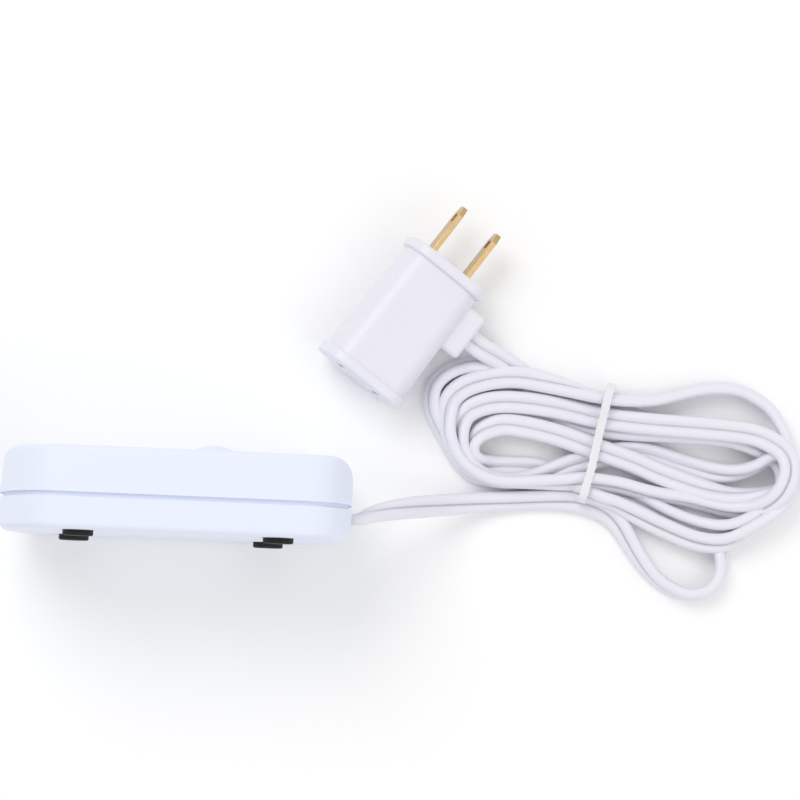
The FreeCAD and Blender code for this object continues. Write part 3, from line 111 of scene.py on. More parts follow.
# The cord's control points, each with how far the cord leans over from its edge there: 90 is flat, and 0
# and 180 both stand on edge. They follow the same hank as its solid, with each strand where it lies over
# or under the others.
CORD_EXIT = (50.0, -5.6, 33.0)
EXIT_LEAN = 180.0
EXIT_RUN_END = (52.8, -5.5, 33.0)
EXIT_RUN_LEAN = 172.0
CORD_ROUTE = [
    # From the case down to the table
    (55.8, -3.9, 31.6, 150), (60.9, -2.4, 27.5, 130), (66.9, -1.1, 22.0, 110), (73.5, -0.1, 15.5, 92),
    (81.1, 1.0, 8.8, 72), (90.3, 2.2, 4.4, 52), (100.4, 3.1, 3.0, 42), (109.5, 3.8, 2.9, 46),
    # Along the hank and round the loose loop
    (117.8, 3.8, 2.6, 66), (122.9, 2.6, 2.2, 80), (127.4, 0.8, 2.4, 68), (131.0, -2.6, 2.8, 52),
    (133.9, -7.2, 3.2, 38), (137.6, -12.8, 3.4, 26), (141.8, -17.7, 3.6, 15), (147.0, -21.0, 3.7, 10),
    (152.5, -22.5, 3.7, 8), (157.6, -21.3, 3.7, 8), (160.8, -17.5, 3.7, 12), (161.7, -12.6, 3.5, 22),
    # Under the hank to its far end, and the outermost strand there
    (161.2, -7.9, 2.9, 48), (163.2, -3.6, 2.3, 78), (167.7, -0.2, 2.0, 90), (173.5, 2.5, 2.0, 90),
    (178.3, 6.1, 2.0, 90), (181.2, 11.4, 2.0, 90), (180.7, 16.8, 2.0, 90), (177.3, 21.1, 2.0, 90),
    (170.6, 24.1, 2.0, 90), (161.6, 25.3, 2.0, 90), (151.2, 26.3, 2.0, 90), (138.7, 27.4, 2.0, 90),
    (130.0, 30.0, 2.0, 90), (122.8, 33.1, 2.0, 90), (113.6, 34.9, 2.0, 90), (105.6, 37.1, 2.1, 85),
    (98.3, 40.2, 2.6, 65), (92.7, 42.0, 3.1, 42), (87.0, 42.5, 3.5, 30), (82.1, 41.4, 3.5, 26),
    (77.8, 39.0, 3.5, 25), (74.9, 35.6, 3.5, 25), (74.3, 31.4, 3.5, 24), (75.2, 27.3, 3.5, 20),
    (77.4, 23.3, 3.5, 18), (79.7, 19.3, 3.4, 20), (82.5, 15.3, 3.1, 35), (85.9, 12.2, 2.6, 60),
    (90.1, 10.0, 2.1, 85), (95.4, 9.8, 2.0, 90), (102.0, 9.9, 2.0, 90), (108.9, 9.0, 2.3, 82),
    (114.6, 7.4, 3.4, 60), (120.0, 6.1, 5.6, 30), (124.5, 4.7, 7.0, 15),
    # Back along the bottom edge to the near end
    (128.9, 3.6, 7.0, 20), (134.0, 1.1, 6.6, 40), (140.2, -1.9, 6.2, 52), (146.1, -4.3, 6.2, 55),
    (152.1, -6.5, 6.4, 55), (157.8, -7.3, 6.5, 52), (162.7, -6.6, 6.6, 40), (167.0, -4.0, 6.9, 22),
    (170.5, -1.5, 7.0, 12), (174.3, 0.9, 7.0, 10), (178.0, 3.9, 7.0, 10), (180.6, 7.8, 7.0, 10),
    (181.3, 12.9, 7.0, 10), (180.7, 18.3, 7.0, 10), (179.4, 23.2, 6.8, 10),
    # Along the top edge, and round the far end
    (177.3, 27.8, 6.0, 12), (174.8, 32.3, 5.0, 14), (170.6, 35.6, 4.3, 15), (165.1, 38.2, 3.9, 15),
    (159.2, 38.6, 3.7, 15), (153.3, 37.9, 3.7, 15), (146.9, 36.2, 3.8, 17), (140.1, 34.2, 4.4, 20),
    (132.4, 33.7, 5.8, 18), (124.8, 33.8, 7.0, 10), (118.1, 35.2, 6.9, 25), (111.6, 37.0, 6.2, 52),
    (105.8, 38.2, 5.6, 74), (99.9, 39.1, 5.4, 84), (94.1, 38.8, 5.4, 86), (88.2, 37.5, 5.4, 88),
    (83.2, 35.4, 5.5, 86), (79.8, 32.2, 5.8, 70), (78.9, 28.3, 6.2, 48), (78.9, 23.8, 6.7, 26),
    (79.9, 19.8, 7.0, 14), (81.8, 15.7, 7.0, 8), (84.8, 12.3, 7.0, 8), (89.3, 9.5, 7.0, 8),
    (94.9, 8.1, 7.0, 8), (101.5, 8.4, 7.0, 8), (108.3, 8.7, 7.0, 20), (114.1, 8.9, 6.9, 32),
    (119.7, 9.6, 6.8, 38), (124.9, 9.2, 6.8, 36),
    # Back beside the last one, over the near end
    (130.9, 8.6, 6.6, 30), (136.9, 7.2, 5.8, 24), (143.7, 6.2, 4.6, 20), (150.0, 5.7, 3.9, 20),
    (155.9, 4.4, 3.9, 20), (161.8, 3.1, 4.4, 24), (167.5, 2.7, 6.2, 36), (172.4, 3.8, 8.6, 55),
    (176.4, 6.9, 10.8, 68), (178.8, 11.1, 11.8, 72), (179.6, 16.0, 11.8, 72), (177.9, 20.4, 10.8, 74),
    # Along the middle and round the far end
    (173.5, 23.3, 10.4, 80), (168.3, 25.2, 9.4, 86), (162.1, 25.8, 8.9, 88), (153.3, 26.3, 8.8, 90),
    (141.1, 26.7, 7.8, 90), (131.0, 27.4, 6.2, 90), (122.4, 28.3, 5.4, 90), (113.3, 30.3, 5.4, 90),
    (105.9, 31.3, 5.4, 90), (100.2, 31.7, 5.4, 90), (94.3, 31.7, 5.4, 88), (88.7, 30.5, 5.4, 86),
    (84.2, 27.9, 5.5, 72), (82.8, 24.0, 5.6, 44), (83.1, 19.6, 5.5, 22), (84.4, 15.9, 5.2, 12),
    (87.1, 12.5, 4.6, 10), (90.8, 10.2, 4.0, 10), (95.6, 9.1, 3.7, 10), (101.0, 9.2, 3.7, 18),
    (106.3, 10.1, 3.9, 45), (110.8, 11.8, 4.4, 75), (115.4, 13.9, 4.2, 90), (120.2, 15.4, 3.2, 90),
    (124.5, 16.8, 2.1, 90),
    # Low along the middle, round its own small loop and back across it
    (131.1, 18.7, 2.0, 90), (137.9, 18.9, 2.0, 90), (144.8, 16.9, 2.0, 90), (151.5, 15.1, 2.0, 88),
    (156.7, 13.9, 2.4, 70), (161.6, 13.5, 3.2, 45), (166.5, 14.2, 4.4, 26), (170.8, 16.1, 5.8, 14),
    (173.1, 18.0, 6.4, 10), (175.6, 19.1, 7.0, 8), (178.2, 18.4, 7.0, 8), (180.1, 16.4, 7.0, 8),
    (180.7, 13.5, 7.0, 8), (179.6, 10.7, 7.0, 8), (176.9, 9.2, 7.0, 8), (173.1, 8.2, 6.7, 12),
    (168.9, 7.3, 6.0, 22), (162.9, 7.0, 5.4, 38), (157.6, 7.9, 5.2, 58), (152.7, 9.1, 5.3, 78),
    (146.6, 11.0, 5.4, 90), (140.6, 13.0, 5.4, 90), (134.6, 15.5, 5.4, 90), (128.6, 17.3, 5.4, 90),
    (123.7, 18.8, 5.4, 90), (118.3, 20.6, 5.4, 90), (112.3, 22.5, 5.4, 90), (106.4, 23.8, 5.4, 88),
    (100.4, 24.8, 5.4, 84), (95.0, 25.1, 5.4, 80), (91.0, 23.6, 5.5, 62), (88.3, 21.9, 5.5, 42),
    (86.4, 19.0, 5.2, 22), (86.7, 16.0, 4.6, 20),
    # Back along the bottom, then low under the top runs
    (88.9, 13.7, 3.7, 40), (92.3, 12.8, 2.6, 72), (96.5, 12.8, 2.1, 88), (101.3, 13.1, 2.0, 90),
    (106.4, 12.8, 2.0, 90), (110.9, 11.5, 2.0, 90), (117.0, 9.5, 2.0, 90), (123.6, 8.4, 2.0, 90),
    (130.1, 7.0, 2.1, 86), (136.3, 4.7, 2.6, 62), (142.1, 2.4, 3.4, 30), (148.1, 0.2, 3.6, 20),
    (154.0, -1.5, 4.0, 18), (159.8, -2.4, 5.6, 18), (164.7, -1.6, 6.2, 18), (169.0, 0.7, 6.4, 16),
    (172.8, 3.5, 6.0, 16), (176.2, 6.8, 5.2, 14), (178.0, 10.3, 4.3, 10), (178.0, 14.2, 3.7, 10),
    (176.4, 17.6, 3.7, 20), (172.9, 20.7, 4.3, 55), (168.2, 23.0, 5.1, 85), (162.6, 24.4, 5.4, 90),
    (155.3, 24.9, 5.4, 90), (144.6, 25.1, 5.2, 90), (134.5, 25.1, 4.0, 90), (124.1, 25.5, 2.6, 90),
    (115.9, 27.2, 2.0, 90), (109.2, 30.9, 2.0, 90), (105.1, 35.2, 2.0, 90), (101.9, 39.0, 2.3, 90),
    # Up to the plug
    (97.8, 42.1, 3.6, 88), (92.6, 44.7, 6.2, 85),
]

# The tie's loop, up on the side of the button, over the hank and back under it: place, and thickness of
# its ribbon. Then the steps from one place to the next
TIE_ROUTE = [
    (127.4, 38.1, 3.00, 0.50), (127.0, 38.0, 6.50, 0.70), (126.4, 37.2, 9.60, 0.80),
    (125.6, 35.2, 11.20, 0.80), (124.8, 31.7, 11.00, 0.80), (124.1, 27.4, 9.60, 0.80),
    (123.2, 22.4, 8.70, 0.80), (122.2, 17.1, 8.90, 0.80), (121.1, 12.1, 10.00, 0.80),
    (120.0, 8.5, 11.20, 0.80), (119.3, 5.8, 11.50, 0.80), (118.8, 4.0, 10.20, 0.80),
    (119.0, 3.3, 7.00, 0.70), (119.6, 3.8, 3.40, 0.50), (120.5, 5.4, 0.50, 0.30),
    (122.1, 13.1, 0.17, 0.25), (124.7, 24.9, 0.17, 0.25), (126.9, 35.0, 0.40, 0.30),
]
TIE_STEPS = 6
# Its section, as shares of half its width and of half its thickness, with the wire's ridge on the outside
TIE_SECTION = [
    (-1.0, 0.0), (-0.97, 0.30), (-0.62, 0.42), (-0.36, 0.62), (0.0, 1.0), (0.36, 0.62), (0.62, 0.42),
    (0.97, 0.30), (1.0, 0.0), (0.97, -0.30), (0.62, -0.42), (0.0, -0.55), (-0.62, -0.42), (-0.97, -0.30),
]
# Its fine ribs: their height as a share of the section, and the number of rings from one to the next
TIE_RIB = 0.16
TIE_RIB_RINGS = 3

# The floor: its radius, and where plain paper starts to turn into white and has become white
FLOOR_RADIUS = 6000.0
PAPER_NEAR = 300.0
PAPER_FAR = 700.0

# The world's light on the object, where 1 is white
WORLD_LIGHT = 0.72

# The lamps with their places, sizes across and watts, and what they are aimed at
LAMPS = (("key", (-550.0, 750.0, 1350.0), 900.0, 7.0),
         ("fill", (900.0, -500.0, 1100.0), 1200.0, 3.2))
LAMP_AIM = (65.0, 30.0, 0.0)

# The camera: what it looks at, the direction from there to it, its distance and its turn about that
CAMERA_TARGET = (65.576, 31.194, 0.0)
CAMERA_BACK = (-0.088, -0.060, 1.0)
CAMERA_DISTANCE = 1460.0
CAMERA_ROLL = 2.2
CAMERA_LENS = 225
CAMERA_SENSOR = 36


def linear(colour):
    """An sRGB hex colour as the linear one that the shader takes."""
    values = [int(colour[i:i + 2], 16) / 255 for i in (1, 3, 5)]
    return [v / 12.92 if v <= 0.04045 else ((v + 0.055) / 1.055) ** 2.4 for v in values] + [1.0]


class TimerSizes(bpy.types.PropertyGroup):
    """Sizes that a user would change."""
    cord_width: bpy.props.FloatProperty(
        name="Cord width", description="Flat twin cord across both cores", default=6.6 * MM, unit="LENGTH")
    cord_thickness: bpy.props.FloatProperty(
        name="Cord thickness", description="Flat twin cord through one core", default=3.3 * MM,
        unit="LENGTH")
    groove_depth: bpy.props.FloatProperty(
        name="Cord groove", description="Depth of the groove between the cores", default=0.55 * MM,
        unit="LENGTH")
    cord_length: bpy.props.FloatProperty(
        name="Cord length", description="Length from the case to the plug", default=1.2, unit="LENGTH")
    edge_radius: bpy.props.FloatProperty(
        name="Moulded edge", description="Small radius on moulded edges", default=0.25 * MM, unit="LENGTH")
    tie_width: bpy.props.FloatProperty(
        name="Tie width", description="Width of the tie's ribbon", default=2.45 * MM, unit="LENGTH")


class TimerColours(bpy.types.PropertyGroup):
    """Colours, as sRGB hex values."""
    case: bpy.props.StringProperty(name="Case", description="Moulded case", default="#E9EFFE")
    plug: bpy.props.StringProperty(name="Plug", description="Moulded plug", default="#EAE9F2")
    cord: bpy.props.StringProperty(name="Cord", description="Cord jacket", default="#ECEBF4")
    tie: bpy.props.StringProperty(name="Tie", description="Tie's coating", default="#EEEEF2")
    blade: bpy.props.StringProperty(name="Blades", description="Stamped brass", default="#D2B480")
    foot: bpy.props.StringProperty(name="Feet", description="Rubber feet", default="#0C0C0C")
    floor: bpy.props.StringProperty(name="Floor", description="Studio floor", default="#FFFFFF")


# Materials

def add(tree, kind, inputs=None, **settings):
    """Adds a node, with its settings, and its inputs as values or as sockets to link."""
    node = tree.nodes.new(kind)
    for name, value in settings.items():
        setattr(node, name, value)
    for name, value in (inputs or {}).items():
        if isinstance(value, bpy.types.NodeSocket):
            tree.links.new(value, node.inputs[name])
        else:
            node.inputs[name].default_value = value
    return node


def per_metre(size_mm):
    """Noise scale whose features are about this large."""
    return 1.0 / (size_mm * MM)


def finish(name, colour, roughness, grain_mm, grain_depth_mm, cloud_mm, cloud,
           metallic=0.0, rough_spread=0.08, coat=0.0):
    """Material with a fine surface grain, a slight drift of its colour and a drift of its gloss."""
    made = bpy.data.materials.get(name)
    if made:
        return made
    made = bpy.data.materials.new(name)
    made.use_nodes = True
    tree = made.node_tree
    tree.nodes.clear()
    place = add(tree, "ShaderNodeTexCoord").outputs["Object"]
    cloud_noise = add(tree, "ShaderNodeTexNoise", {"Vector": place, "Scale": per_metre(cloud_mm),
                                                   "Detail": 3.0})
    grain = add(tree, "ShaderNodeTexNoise", {"Vector": place, "Scale": per_metre(grain_mm), "Detail": 4.0,
                                             "Roughness": 0.6})
    light = linear(colour)
    dark = [v * (1 - 2 * cloud) for v in light[:3]] + [1.0]
    tint = add(tree, "ShaderNodeMix", {"Factor": cloud_noise.outputs["Fac"], 6: light, 7: dark},
               data_type="RGBA")
    gloss = add(tree, "ShaderNodeMapRange", {"Value": grain.outputs["Fac"],
                                             "From Min": 0.25, "From Max": 0.75,
                                             "To Min": roughness - rough_spread,
                                             "To Max": roughness + rough_spread})
    relief = add(tree, "ShaderNodeBump", {"Height": grain.outputs["Fac"], "Strength": 0.6,
                                          "Distance": grain_depth_mm * MM})
    shader = add(tree, "ShaderNodeBsdfPrincipled", {
        "Base Color": tint.outputs[2], "Roughness": gloss.outputs["Result"],
        "Normal": relief.outputs["Normal"], "Metallic": metallic, "Coat Weight": coat})
    add(tree, "ShaderNodeOutputMaterial", {"Surface": shader.outputs["BSDF"]})
    return made


def case_abs():
    # ABS, injection moulded in a lightly spark-eroded mould: a soft, even sheen with a very fine grain.
    return finish("ABS moulded cool white", colours().case, 0.46, 0.45, 0.02, cloud_mm=28.0, cloud=0.010)


def plug_pvc():
    # PVC, moulded over the contacts: a waxy surface, smoother than the case.
    return finish("PVC moulded white", colours().plug, 0.38, 1.1, 0.03, cloud_mm=9.0, cloud=0.018)


def cord_pvc():
    # PVC, extruded over the two cores: satin, with small waves.
    return finish("PVC extruded jacket", colours().cord, 0.40, 1.6, 0.04, cloud_mm=14.0, cloud=0.015)


def tie_coating():
    # Thin PVC over a soft steel wire: bright, with a fine grain. Its ribs are in its shape.
    return finish("PVC coated wire tie", colours().tie, 0.42, 0.9, 0.08, cloud_mm=4.0, cloud=0.03)


def foot_rubber():
    # Moulded rubber: dull black with a fine orange-peel grain.
    return finish("Rubber moulded black", colours().foot, 0.78, 0.5, 0.05, cloud_mm=3.0, cloud=0.12)


def blade_brass():
    # Brass, rolled and stamped: bright, with a fine grain and a mottled tone.
    return finish("Brass stamped strip", colours().blade, 0.26, 0.35, 0.01, cloud_mm=2.5, cloud=0.16,
                  metallic=1.0, rough_spread=0.12)


def screw_steel():
    # Steel with a thin zinc plating: greyish and slightly mottled.
    return finish("Steel zinc plated", "#B4B7BB", 0.34, 0.4, 0.01, cloud_mm=1.2, cloud=0.10, metallic=1.0)


def board_laminate():
    # Glass-epoxy board under a green solder mask: glossy, with a slight ripple.
    return finish("Glass epoxy green mask", "#2E5C3A", 0.30, 0.8, 0.02, cloud_mm=6.0, cloud=0.10)


def inner_plastic(name, colour, roughness=0.4):
    # Thermoplastic or epoxy, moulded or dipped: even, with small ripples.
    return finish(name, colour, roughness, 0.8, 0.02, cloud_mm=5.0, cloud=0.06)


def frosted_acrylic():
    # Acrylic, moulded and frosted: pale and even, under a thin gloss.
    return finish("Acrylic frosted", "#DDE6EE", 0.30, 0.6, 0.02, cloud_mm=2.0, cloud=0.05, coat=0.4)


def sizes():
    return bpy.context.scene.timer_sizes


def colours():
    return bpy.context.scene.timer_colours


# Pieces from the frame

def dressed(node_name, name, material, angle=SHARP_ANGLE, bevel=0.0):
    """A merged copy of a CAD node, smooth except at real edges, with a small moulded radius on those."""
    node = frame["nodes"][node_name]
    mesh = node.data.copy()
    mesh.name = name
    shape = bmesh.new()
    shape.from_mesh(mesh)
    bmesh.ops.remove_doubles(shape, verts=shape.verts, dist=MERGE_DISTANCE)
    bmesh.ops.dissolve_limit(shape, angle_limit=math.radians(FLAT_ANGLE), verts=shape.verts,
                             edges=shape.edges)
    for face in shape.faces:
        face.smooth = True
    shape.to_mesh(mesh)
    shape.free()
    mesh.materials.clear()
    mesh.materials.append(material)
    piece = bpy.data.objects.new(name, mesh)
    bpy.context.scene.collection.objects.link(piece)
    mesh.set_sharp_from_angle(angle=math.radians(angle))
    if bevel > 0:
        edge = piece.modifiers.new("moulded edge", "BEVEL")
        edge.width = bevel
        edge.segments = 2
        edge.limit_method = "ANGLE"
        edge.angle_limit = math.radians(angle)
    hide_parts(node_name)
    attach(piece, node["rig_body"])
    return piece


def repaint(node_name, material):
    """A CAD node that stays, with a better material."""
    node = frame["nodes"][node_name]
    for slot in node.material_slots:
        slot.link = "OBJECT"
        slot.material = material


# Cord

def plug_frame():
    """Turns and places the plug, which is worked out upright with its blades up."""
    return (Matrix.Translation(PLUG_FRONT)
            @ Matrix.Rotation(math.radians(PLUG_HEADING - 90.0), 4, "Z")
            @ Matrix.Rotation(math.radians(PLUG_RISE - 90.0), 4, "X")
            @ Matrix.Rotation(math.radians(PLUG_ROLL), 4, "Z"))


def cord_points():
    """The whole cord's control points with its lean at each, from the case to the plug."""
    points = [(*CORD_EXIT, EXIT_LEAN), (*EXIT_RUN_END, EXIT_RUN_LEAN)] + CORD_ROUTE
    for beyond_boss in (BOSS_RUN, 0.0):
        end = plug_frame() @ (Vector(BOSS_MOUTH) + Vector((beyond_boss, 0.0, 0.0)))
        points.append((*end, BOSS_LEAN))
    return points


def cord_section():
    """Flat twin section: two round cores with a groove between them."""
    thin = sizes().cord_thickness / 2
    centre = (sizes().cord_width - sizes().cord_thickness) / 2
    waist = thin - sizes().groove_depth
    meet = math.acos(min(1.0, centre / thin)) if centre < thin else 0.0
    start = max(meet, math.asin(min(1.0, waist / thin)) * GROOVE_SHARE)
    corners = []
    for side in (1, -1):
        for i in range(CORE_SIDES + 1):
            turn = math.pi - start - (2 * math.pi - 2 * start) * i / CORE_SIDES
            x = side * (centre + thin * math.cos(turn))
            y = side * thin * math.sin(turn)
            corners.append((x, y))
        corners.append((0.0, -side * waist))
    curve = bpy.data.curves.new("cord section", "CURVE")
    curve.dimensions = "2D"
    line = curve.splines.new("POLY")
    line.points.add(len(corners) - 1)
    for point, (x, y) in zip(line.points, corners):
        point.co = (x, y, 0.0, 1.0)
    line.use_cyclic_u = True
    section = bpy.data.objects.new("cord_section", curve)
    bpy.context.scene.collection.objects.link(section)
    section.hide_render = True
    section.hide_viewport = True
    return section


class TIMER_OT_cord(bpy.types.Operator):
    """Makes the flat twin cord from the case through the hank to the plug, as one smooth line"""
    bl_idname = "timer.cord"
    bl_label = "Cord"

    def execute(self, context):
        curve = bpy.data.curves.new("cord", "CURVE")
        curve.dimensions = "3D"
        curve.twist_mode = "Z_UP"
        curve.resolution_u = CORD_SMOOTHNESS
        curve.render_resolution_u = CORD_SMOOTHNESS
        line = curve.splines.new("NURBS")
        points = cord_points()
        line.points.add(len(points) - 1)
        for point, (x, y, z, lean) in zip(line.points, points):
            point.co = (x * MM, y * MM, z * MM, 1.0)
            point.tilt = math.radians(90.0 - lean)
        line.order_u = 3
        line.use_endpoint_u = True
        curve.bevel_mode = "OBJECT"
        curve.bevel_object = cord_section()
        curve.use_fill_caps = True
        curve.materials.append(cord_pvc())
        cord = bpy.data.objects.new("cord", curve)
        context.scene.collection.objects.link(cord)
        for spline in curve.splines:
            spline.use_smooth = True
        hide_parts("cord_from_case", "cord_hank", "cord_to_plug")
        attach(cord, "case")
        return {"FINISHED"}


def tie_line():
    """Places along the tie's loop with its thickness there, smooth through the listed ones."""
    count = len(TIE_ROUTE)
    places = []
    for i in range(count):
        p0, p1, p2, p3 = (Vector(TIE_ROUTE[(i + k) % count]) for k in (-1, 0, 1, 2))
        for step in range(TIE_STEPS):
            t = step / TIE_STEPS
            places.append(0.5 * (2 * p1 + (p2 - p0) * t + (2 * p0 - 5 * p1 + 4 * p2 - p3) * t * t
                                 + (3 * p1 - p0 - 3 * p2 + p3) * t * t * t))
    return places


class TIMER_OT_tie(bpy.types.Operator):
    """Makes the tie's ribbon with the wire in its middle, round the hank's waist"""
    bl_idname = "timer.tie"
    bl_label = "Tie"

    def execute(self, context):
        places = tie_line()
        count = len(places)
        first, middle = places[0].to_3d(), places[count // 2].to_3d()
        run = Vector((middle.x - first.x, middle.y - first.y, 0)).normalized()
        across = Vector((run.y, -run.x, 0))
        half = sizes().tie_width / MM / 2
        shape = bmesh.new()
        rings = []
        for i, place in enumerate(places):
            at = place.to_3d()
            along = (places[(i + 1) % count].to_3d() - places[i - 1].to_3d()).normalized()
            out = along.cross(across).normalized()
            rib = 1.0 + TIE_RIB * math.sin(i * 2 * math.pi / TIE_RIB_RINGS)
            ring = []
            for side, lift in TIE_SECTION:
                point = at + across * (side * half * rib) + out * (lift * place.w / 2 * rib)
                ring.append(shape.verts.new(point * MM))
            rings.append(ring)
        for i in range(count):
            for j in range(len(TIE_SECTION)):
                k = (j + 1) % len(TIE_SECTION)
                following = rings[(i + 1) % count]
                shape.faces.new((rings[i][j], rings[i][k], following[k], following[j]))
        bmesh.ops.recalc_face_normals(shape, faces=shape.faces)
        for face in shape.faces:
            face.smooth = True
        mesh = bpy.data.meshes.new("tie")
        shape.to_mesh(mesh)
        shape.free()
        mesh.materials.append(tie_coating())
        tie = bpy.data.objects.new("tie", mesh)
        context.scene.collection.objects.link(tie)
        smoother = tie.modifiers.new("smooth", "SUBSURF")
        smoother.levels = 2
        smoother.render_levels = 2
        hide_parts("cord_tie")
        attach(tie, "case")
        return {"FINISHED"}


class TIMER_OT_case(bpy.types.Operator):
    """Dresses the case's covers, feet and screws"""
    bl_idname = "timer.case"
    bl_label = "Case"

    def execute(self, context):
        radius = sizes().edge_radius
        dressed("bottom_cover", "bottom_cover_shell", case_abs(), bevel=radius)
        dressed("top_cover", "top_cover_shell", case_abs(), bevel=radius)
        for name in ("foot_far_end_front", "foot_far_end_back", "foot_cord_end_front", "foot_cord_end_back"):
            dressed(name, name + "_pad", foot_rubber(), bevel=FOOT_EDGE * MM)
        dressed("case_screws", "case_screw_set", screw_steel(), bevel=SCREW_EDGE * MM)
        dressed("cord_bushing", "cord_grommet", cord_pvc(), bevel=BUSHING_EDGE * MM)
        return {"FINISHED"}


class TIMER_OT_button(bpy.types.Operator):
    """Dresses the push button and the light guides beside it"""
    bl_idname = "timer.button"
    bl_label = "Button"

    def execute(self, context):
        dressed("button_cap", "push_button", case_abs(), bevel=BUTTON_EDGE * MM)
        dressed("lamp_lenses", "light_guides", frosted_acrylic(), bevel=LIGHT_GUIDE_EDGE * MM)
        return {"FINISHED"}


class TIMER_OT_plug(bpy.types.Operator):
    """Dresses the plug with its blades and its outlet"""
    bl_idname = "timer.plug"
    bl_label = "Plug"

    def execute(self, context):
        radius = sizes().edge_radius
        dressed("plug_body", "plug_shell", plug_pvc(), bevel=radius)
        dressed("plug_front_plate", "plug_front", plug_pvc(), bevel=radius)
        dressed("plug_rear_plate", "plug_rear", plug_pvc(), bevel=radius)
        dressed("blade_line", "plug_blade_line", blade_brass(), bevel=BLADE_EDGE * MM)
        dressed("blade_neutral", "plug_blade_neutral", blade_brass(), bevel=BLADE_EDGE * MM)
        for name in ("outlet_contact_line", "outlet_contact_neutral"):
            repaint(name, blade_brass())
        repaint("plug_conductors", inner_plastic("PVC core insulation", "#B98A5A"))
        return {"FINISHED"}


class TIMER_OT_inside(bpy.types.Operator):
    """Gives the board and what it carries their materials, and dresses the spring as a steel copy with a
    mesh of its own
    """
    bl_idname = "timer.inside"
    bl_label = "Inside"

    def execute(self, context):
        repaint("circuit_board", board_laminate())
        repaint("board_screws", screw_steel())
        spring = dressed("switch_spring", "return_spring", screw_steel(), angle=SPRING_SHARP_ANGLE)
        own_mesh(spring)
        for name in ("switch_body", "switch_stem", "timer_chip", "rectifier_diodes"):
            repaint(name, inner_plastic("Epoxy moulded black", "#1E1E20", 0.45))
        repaint("relay", inner_plastic("Polyester moulded blue", "#2A56A0", 0.35))
        repaint("film_capacitor", inner_plastic("Epoxy dipped yellow", "#D6B23E", 0.32))
        repaint("electrolytic_capacitor", inner_plastic("PVC shrink sleeve", "#2A2C3E", 0.3))
        repaint("varistor", inner_plastic("Epoxy dipped blue", "#366096", 0.35))
        repaint("fuse", inner_plastic("Glass tube", "#C9D2D2", 0.15))
        repaint("resistors", inner_plastic("Lacquer tan", "#C8B08C", 0.4))
        repaint("indicator_lamps", frosted_acrylic())
        repaint("solder_terminals", blade_brass())
        repaint("inlet_conductors", inner_plastic("PVC core insulation", "#B98A5A"))
        return {"FINISHED"}


class TIMER_OT_stage(bpy.types.Operator):
    """Sets up the pale floor, the soft lamps and the camera"""
    bl_idname = "timer.stage"
    bl_label = "Stage"

    def execute(self, context):
        scene = context.scene
        scene.view_settings.view_transform = "Standard"
        shape = bmesh.new()
        bmesh.ops.create_circle(shape, cap_ends=True, radius=FLOOR_RADIUS * MM, segments=96)
        mesh = bpy.data.meshes.new("floor")
        shape.to_mesh(mesh)
        shape.free()
        mesh.materials.append(floor_paper())
        floor = bpy.data.objects.new("floor", mesh)
        scene.collection.objects.link(floor)

        world = bpy.data.worlds.new("studio")
        world.use_nodes = True
        scene.world = world
        tree = world.node_tree
        tree.nodes.clear()
        strength = add(tree, "ShaderNodeMapRange", {"Value": seen_directly(tree), "To Min": WORLD_LIGHT,
                                                    "To Max": 1.0})
        sky = add(tree, "ShaderNodeBackground", {"Color": (1, 1, 1, 1),
                                                 "Strength": strength.outputs["Result"]})
        add(tree, "ShaderNodeOutputWorld", {"Surface": sky.outputs["Background"]})

        for name, place, size, power in LAMPS:
            lamp = bpy.data.lights.new(name, "AREA")
            lamp.shape = "DISK"
            lamp.size = size * MM
            lamp.energy = power
            holder = bpy.data.objects.new(name, lamp)
            holder.location = Vector(place) * MM
            aim = Vector(LAMP_AIM) * MM - holder.location
            holder.rotation_euler = aim.to_track_quat("-Z", "Y").to_euler()
            scene.collection.objects.link(holder)

        target = Vector(CAMERA_TARGET) * MM
        back = Vector(CAMERA_BACK).normalized()
        ahead = -back
        roll = math.radians(CAMERA_ROLL)
        right = ahead.cross(Vector((0, 1, 0))).normalized()
        up = right.cross(ahead)
        across = right * math.cos(roll) + up * math.sin(roll)
        above = up * math.cos(roll) - right * math.sin(roll)
        camera_data = bpy.data.cameras.new("camera")
        camera_data.lens = CAMERA_LENS
        camera_data.sensor_width = CAMERA_SENSOR
        camera = bpy.data.objects.new("camera", camera_data)
        turn = Matrix((across, above, back)).transposed().to_4x4()
        camera.matrix_world = Matrix.Translation(target + back * CAMERA_DISTANCE * MM) @ turn
        scene.collection.objects.link(camera)
        scene.camera = camera
        return {"FINISHED"}


def seen_directly(tree):
    """1 for a ray from the camera, off a glossy surface or through a clear one, and 0 for all others."""
    path = add(tree, "ShaderNodeLightPath")
    seen = add(tree, "ShaderNodeMath", {0: path.outputs["Is Camera Ray"], 1: path.outputs["Is Glossy Ray"]},
               operation="MAXIMUM")
    seen = add(tree, "ShaderNodeMath", {0: seen.outputs[0], 1: path.outputs["Is Transmission Ray"]},
               operation="MAXIMUM")
    return seen.outputs[0]


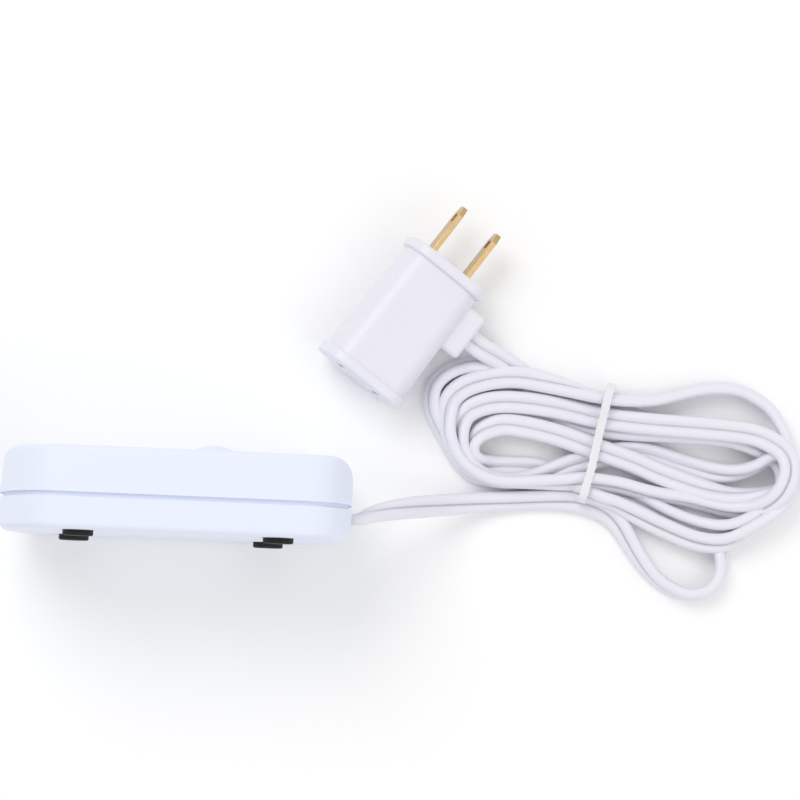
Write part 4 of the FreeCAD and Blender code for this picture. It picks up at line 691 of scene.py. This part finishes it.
def floor_paper():
    """White seamless paper, which keeps the object's shadow and runs out into the plain white behind it."""
    paper = finish("Paper seamless white", colours().floor, 0.9, 2.0, 0.0, cloud_mm=60.0, cloud=0.0,
                   rough_spread=0.0)
    tree = paper.node_tree
    output = next(node for node in tree.nodes if node.bl_idname == "ShaderNodeOutputMaterial")
    near = output.inputs["Surface"].links[0].from_socket
    place = add(tree, "ShaderNodeTexCoord").outputs["Object"]
    away = add(tree, "ShaderNodeVectorMath", {0: place}, operation="LENGTH").outputs["Value"]
    far = add(tree, "ShaderNodeMapRange", {"Value": away, "From Min": PAPER_NEAR * MM,
                                           "From Max": PAPER_FAR * MM},
              interpolation_type="SMOOTHSTEP").outputs["Result"]
    share = add(tree, "ShaderNodeMath", {0: far, 1: seen_directly(tree)}, operation="MULTIPLY").outputs[0]
    white = add(tree, "ShaderNodeEmission", {"Color": (1, 1, 1, 1), "Strength": 1.0}).outputs["Emission"]
    mixed = add(tree, "ShaderNodeMixShader", {0: share, 1: near, 2: white})
    tree.links.new(mixed.outputs["Shader"], output.inputs["Surface"])
    return paper


STEPS = ("stage", "case", "button", "plug", "inside", "tie", "cord")


class TIMER_PT_panel(bpy.types.Panel):
    """Lists the timer's pieces and its sizes"""
    bl_idname = "TIMER_PT_panel"
    bl_label = "Light timer"
    bl_space_type = "VIEW_3D"
    bl_region_type = "UI"
    bl_category = "Light timer"

    def draw(self, context):
        layout = self.layout
        for step in STEPS:
            layout.operator("timer." + step)
        for group in (context.scene.timer_sizes, context.scene.timer_colours):
            for name in group.__annotations__:
                layout.prop(group, name)


CLASSES = (TimerSizes, TimerColours, TIMER_OT_stage, TIMER_OT_case, TIMER_OT_button, TIMER_OT_plug,
           TIMER_OT_inside, TIMER_OT_tie, TIMER_OT_cord, TIMER_PT_panel)


def register():
    for cls in CLASSES:
        bpy.utils.register_class(cls)
    bpy.types.Scene.timer_sizes = bpy.props.PointerProperty(type=TimerSizes)
    bpy.types.Scene.timer_colours = bpy.props.PointerProperty(type=TimerColours)


def unregister():
    del bpy.types.Scene.timer_colours
    del bpy.types.Scene.timer_sizes
    for cls in reversed(CLASSES):
        bpy.utils.unregister_class(cls)


def main():
    register()
    for step in STEPS:
        getattr(bpy.ops.timer, step)()


if __name__ == "__main__":
    main()
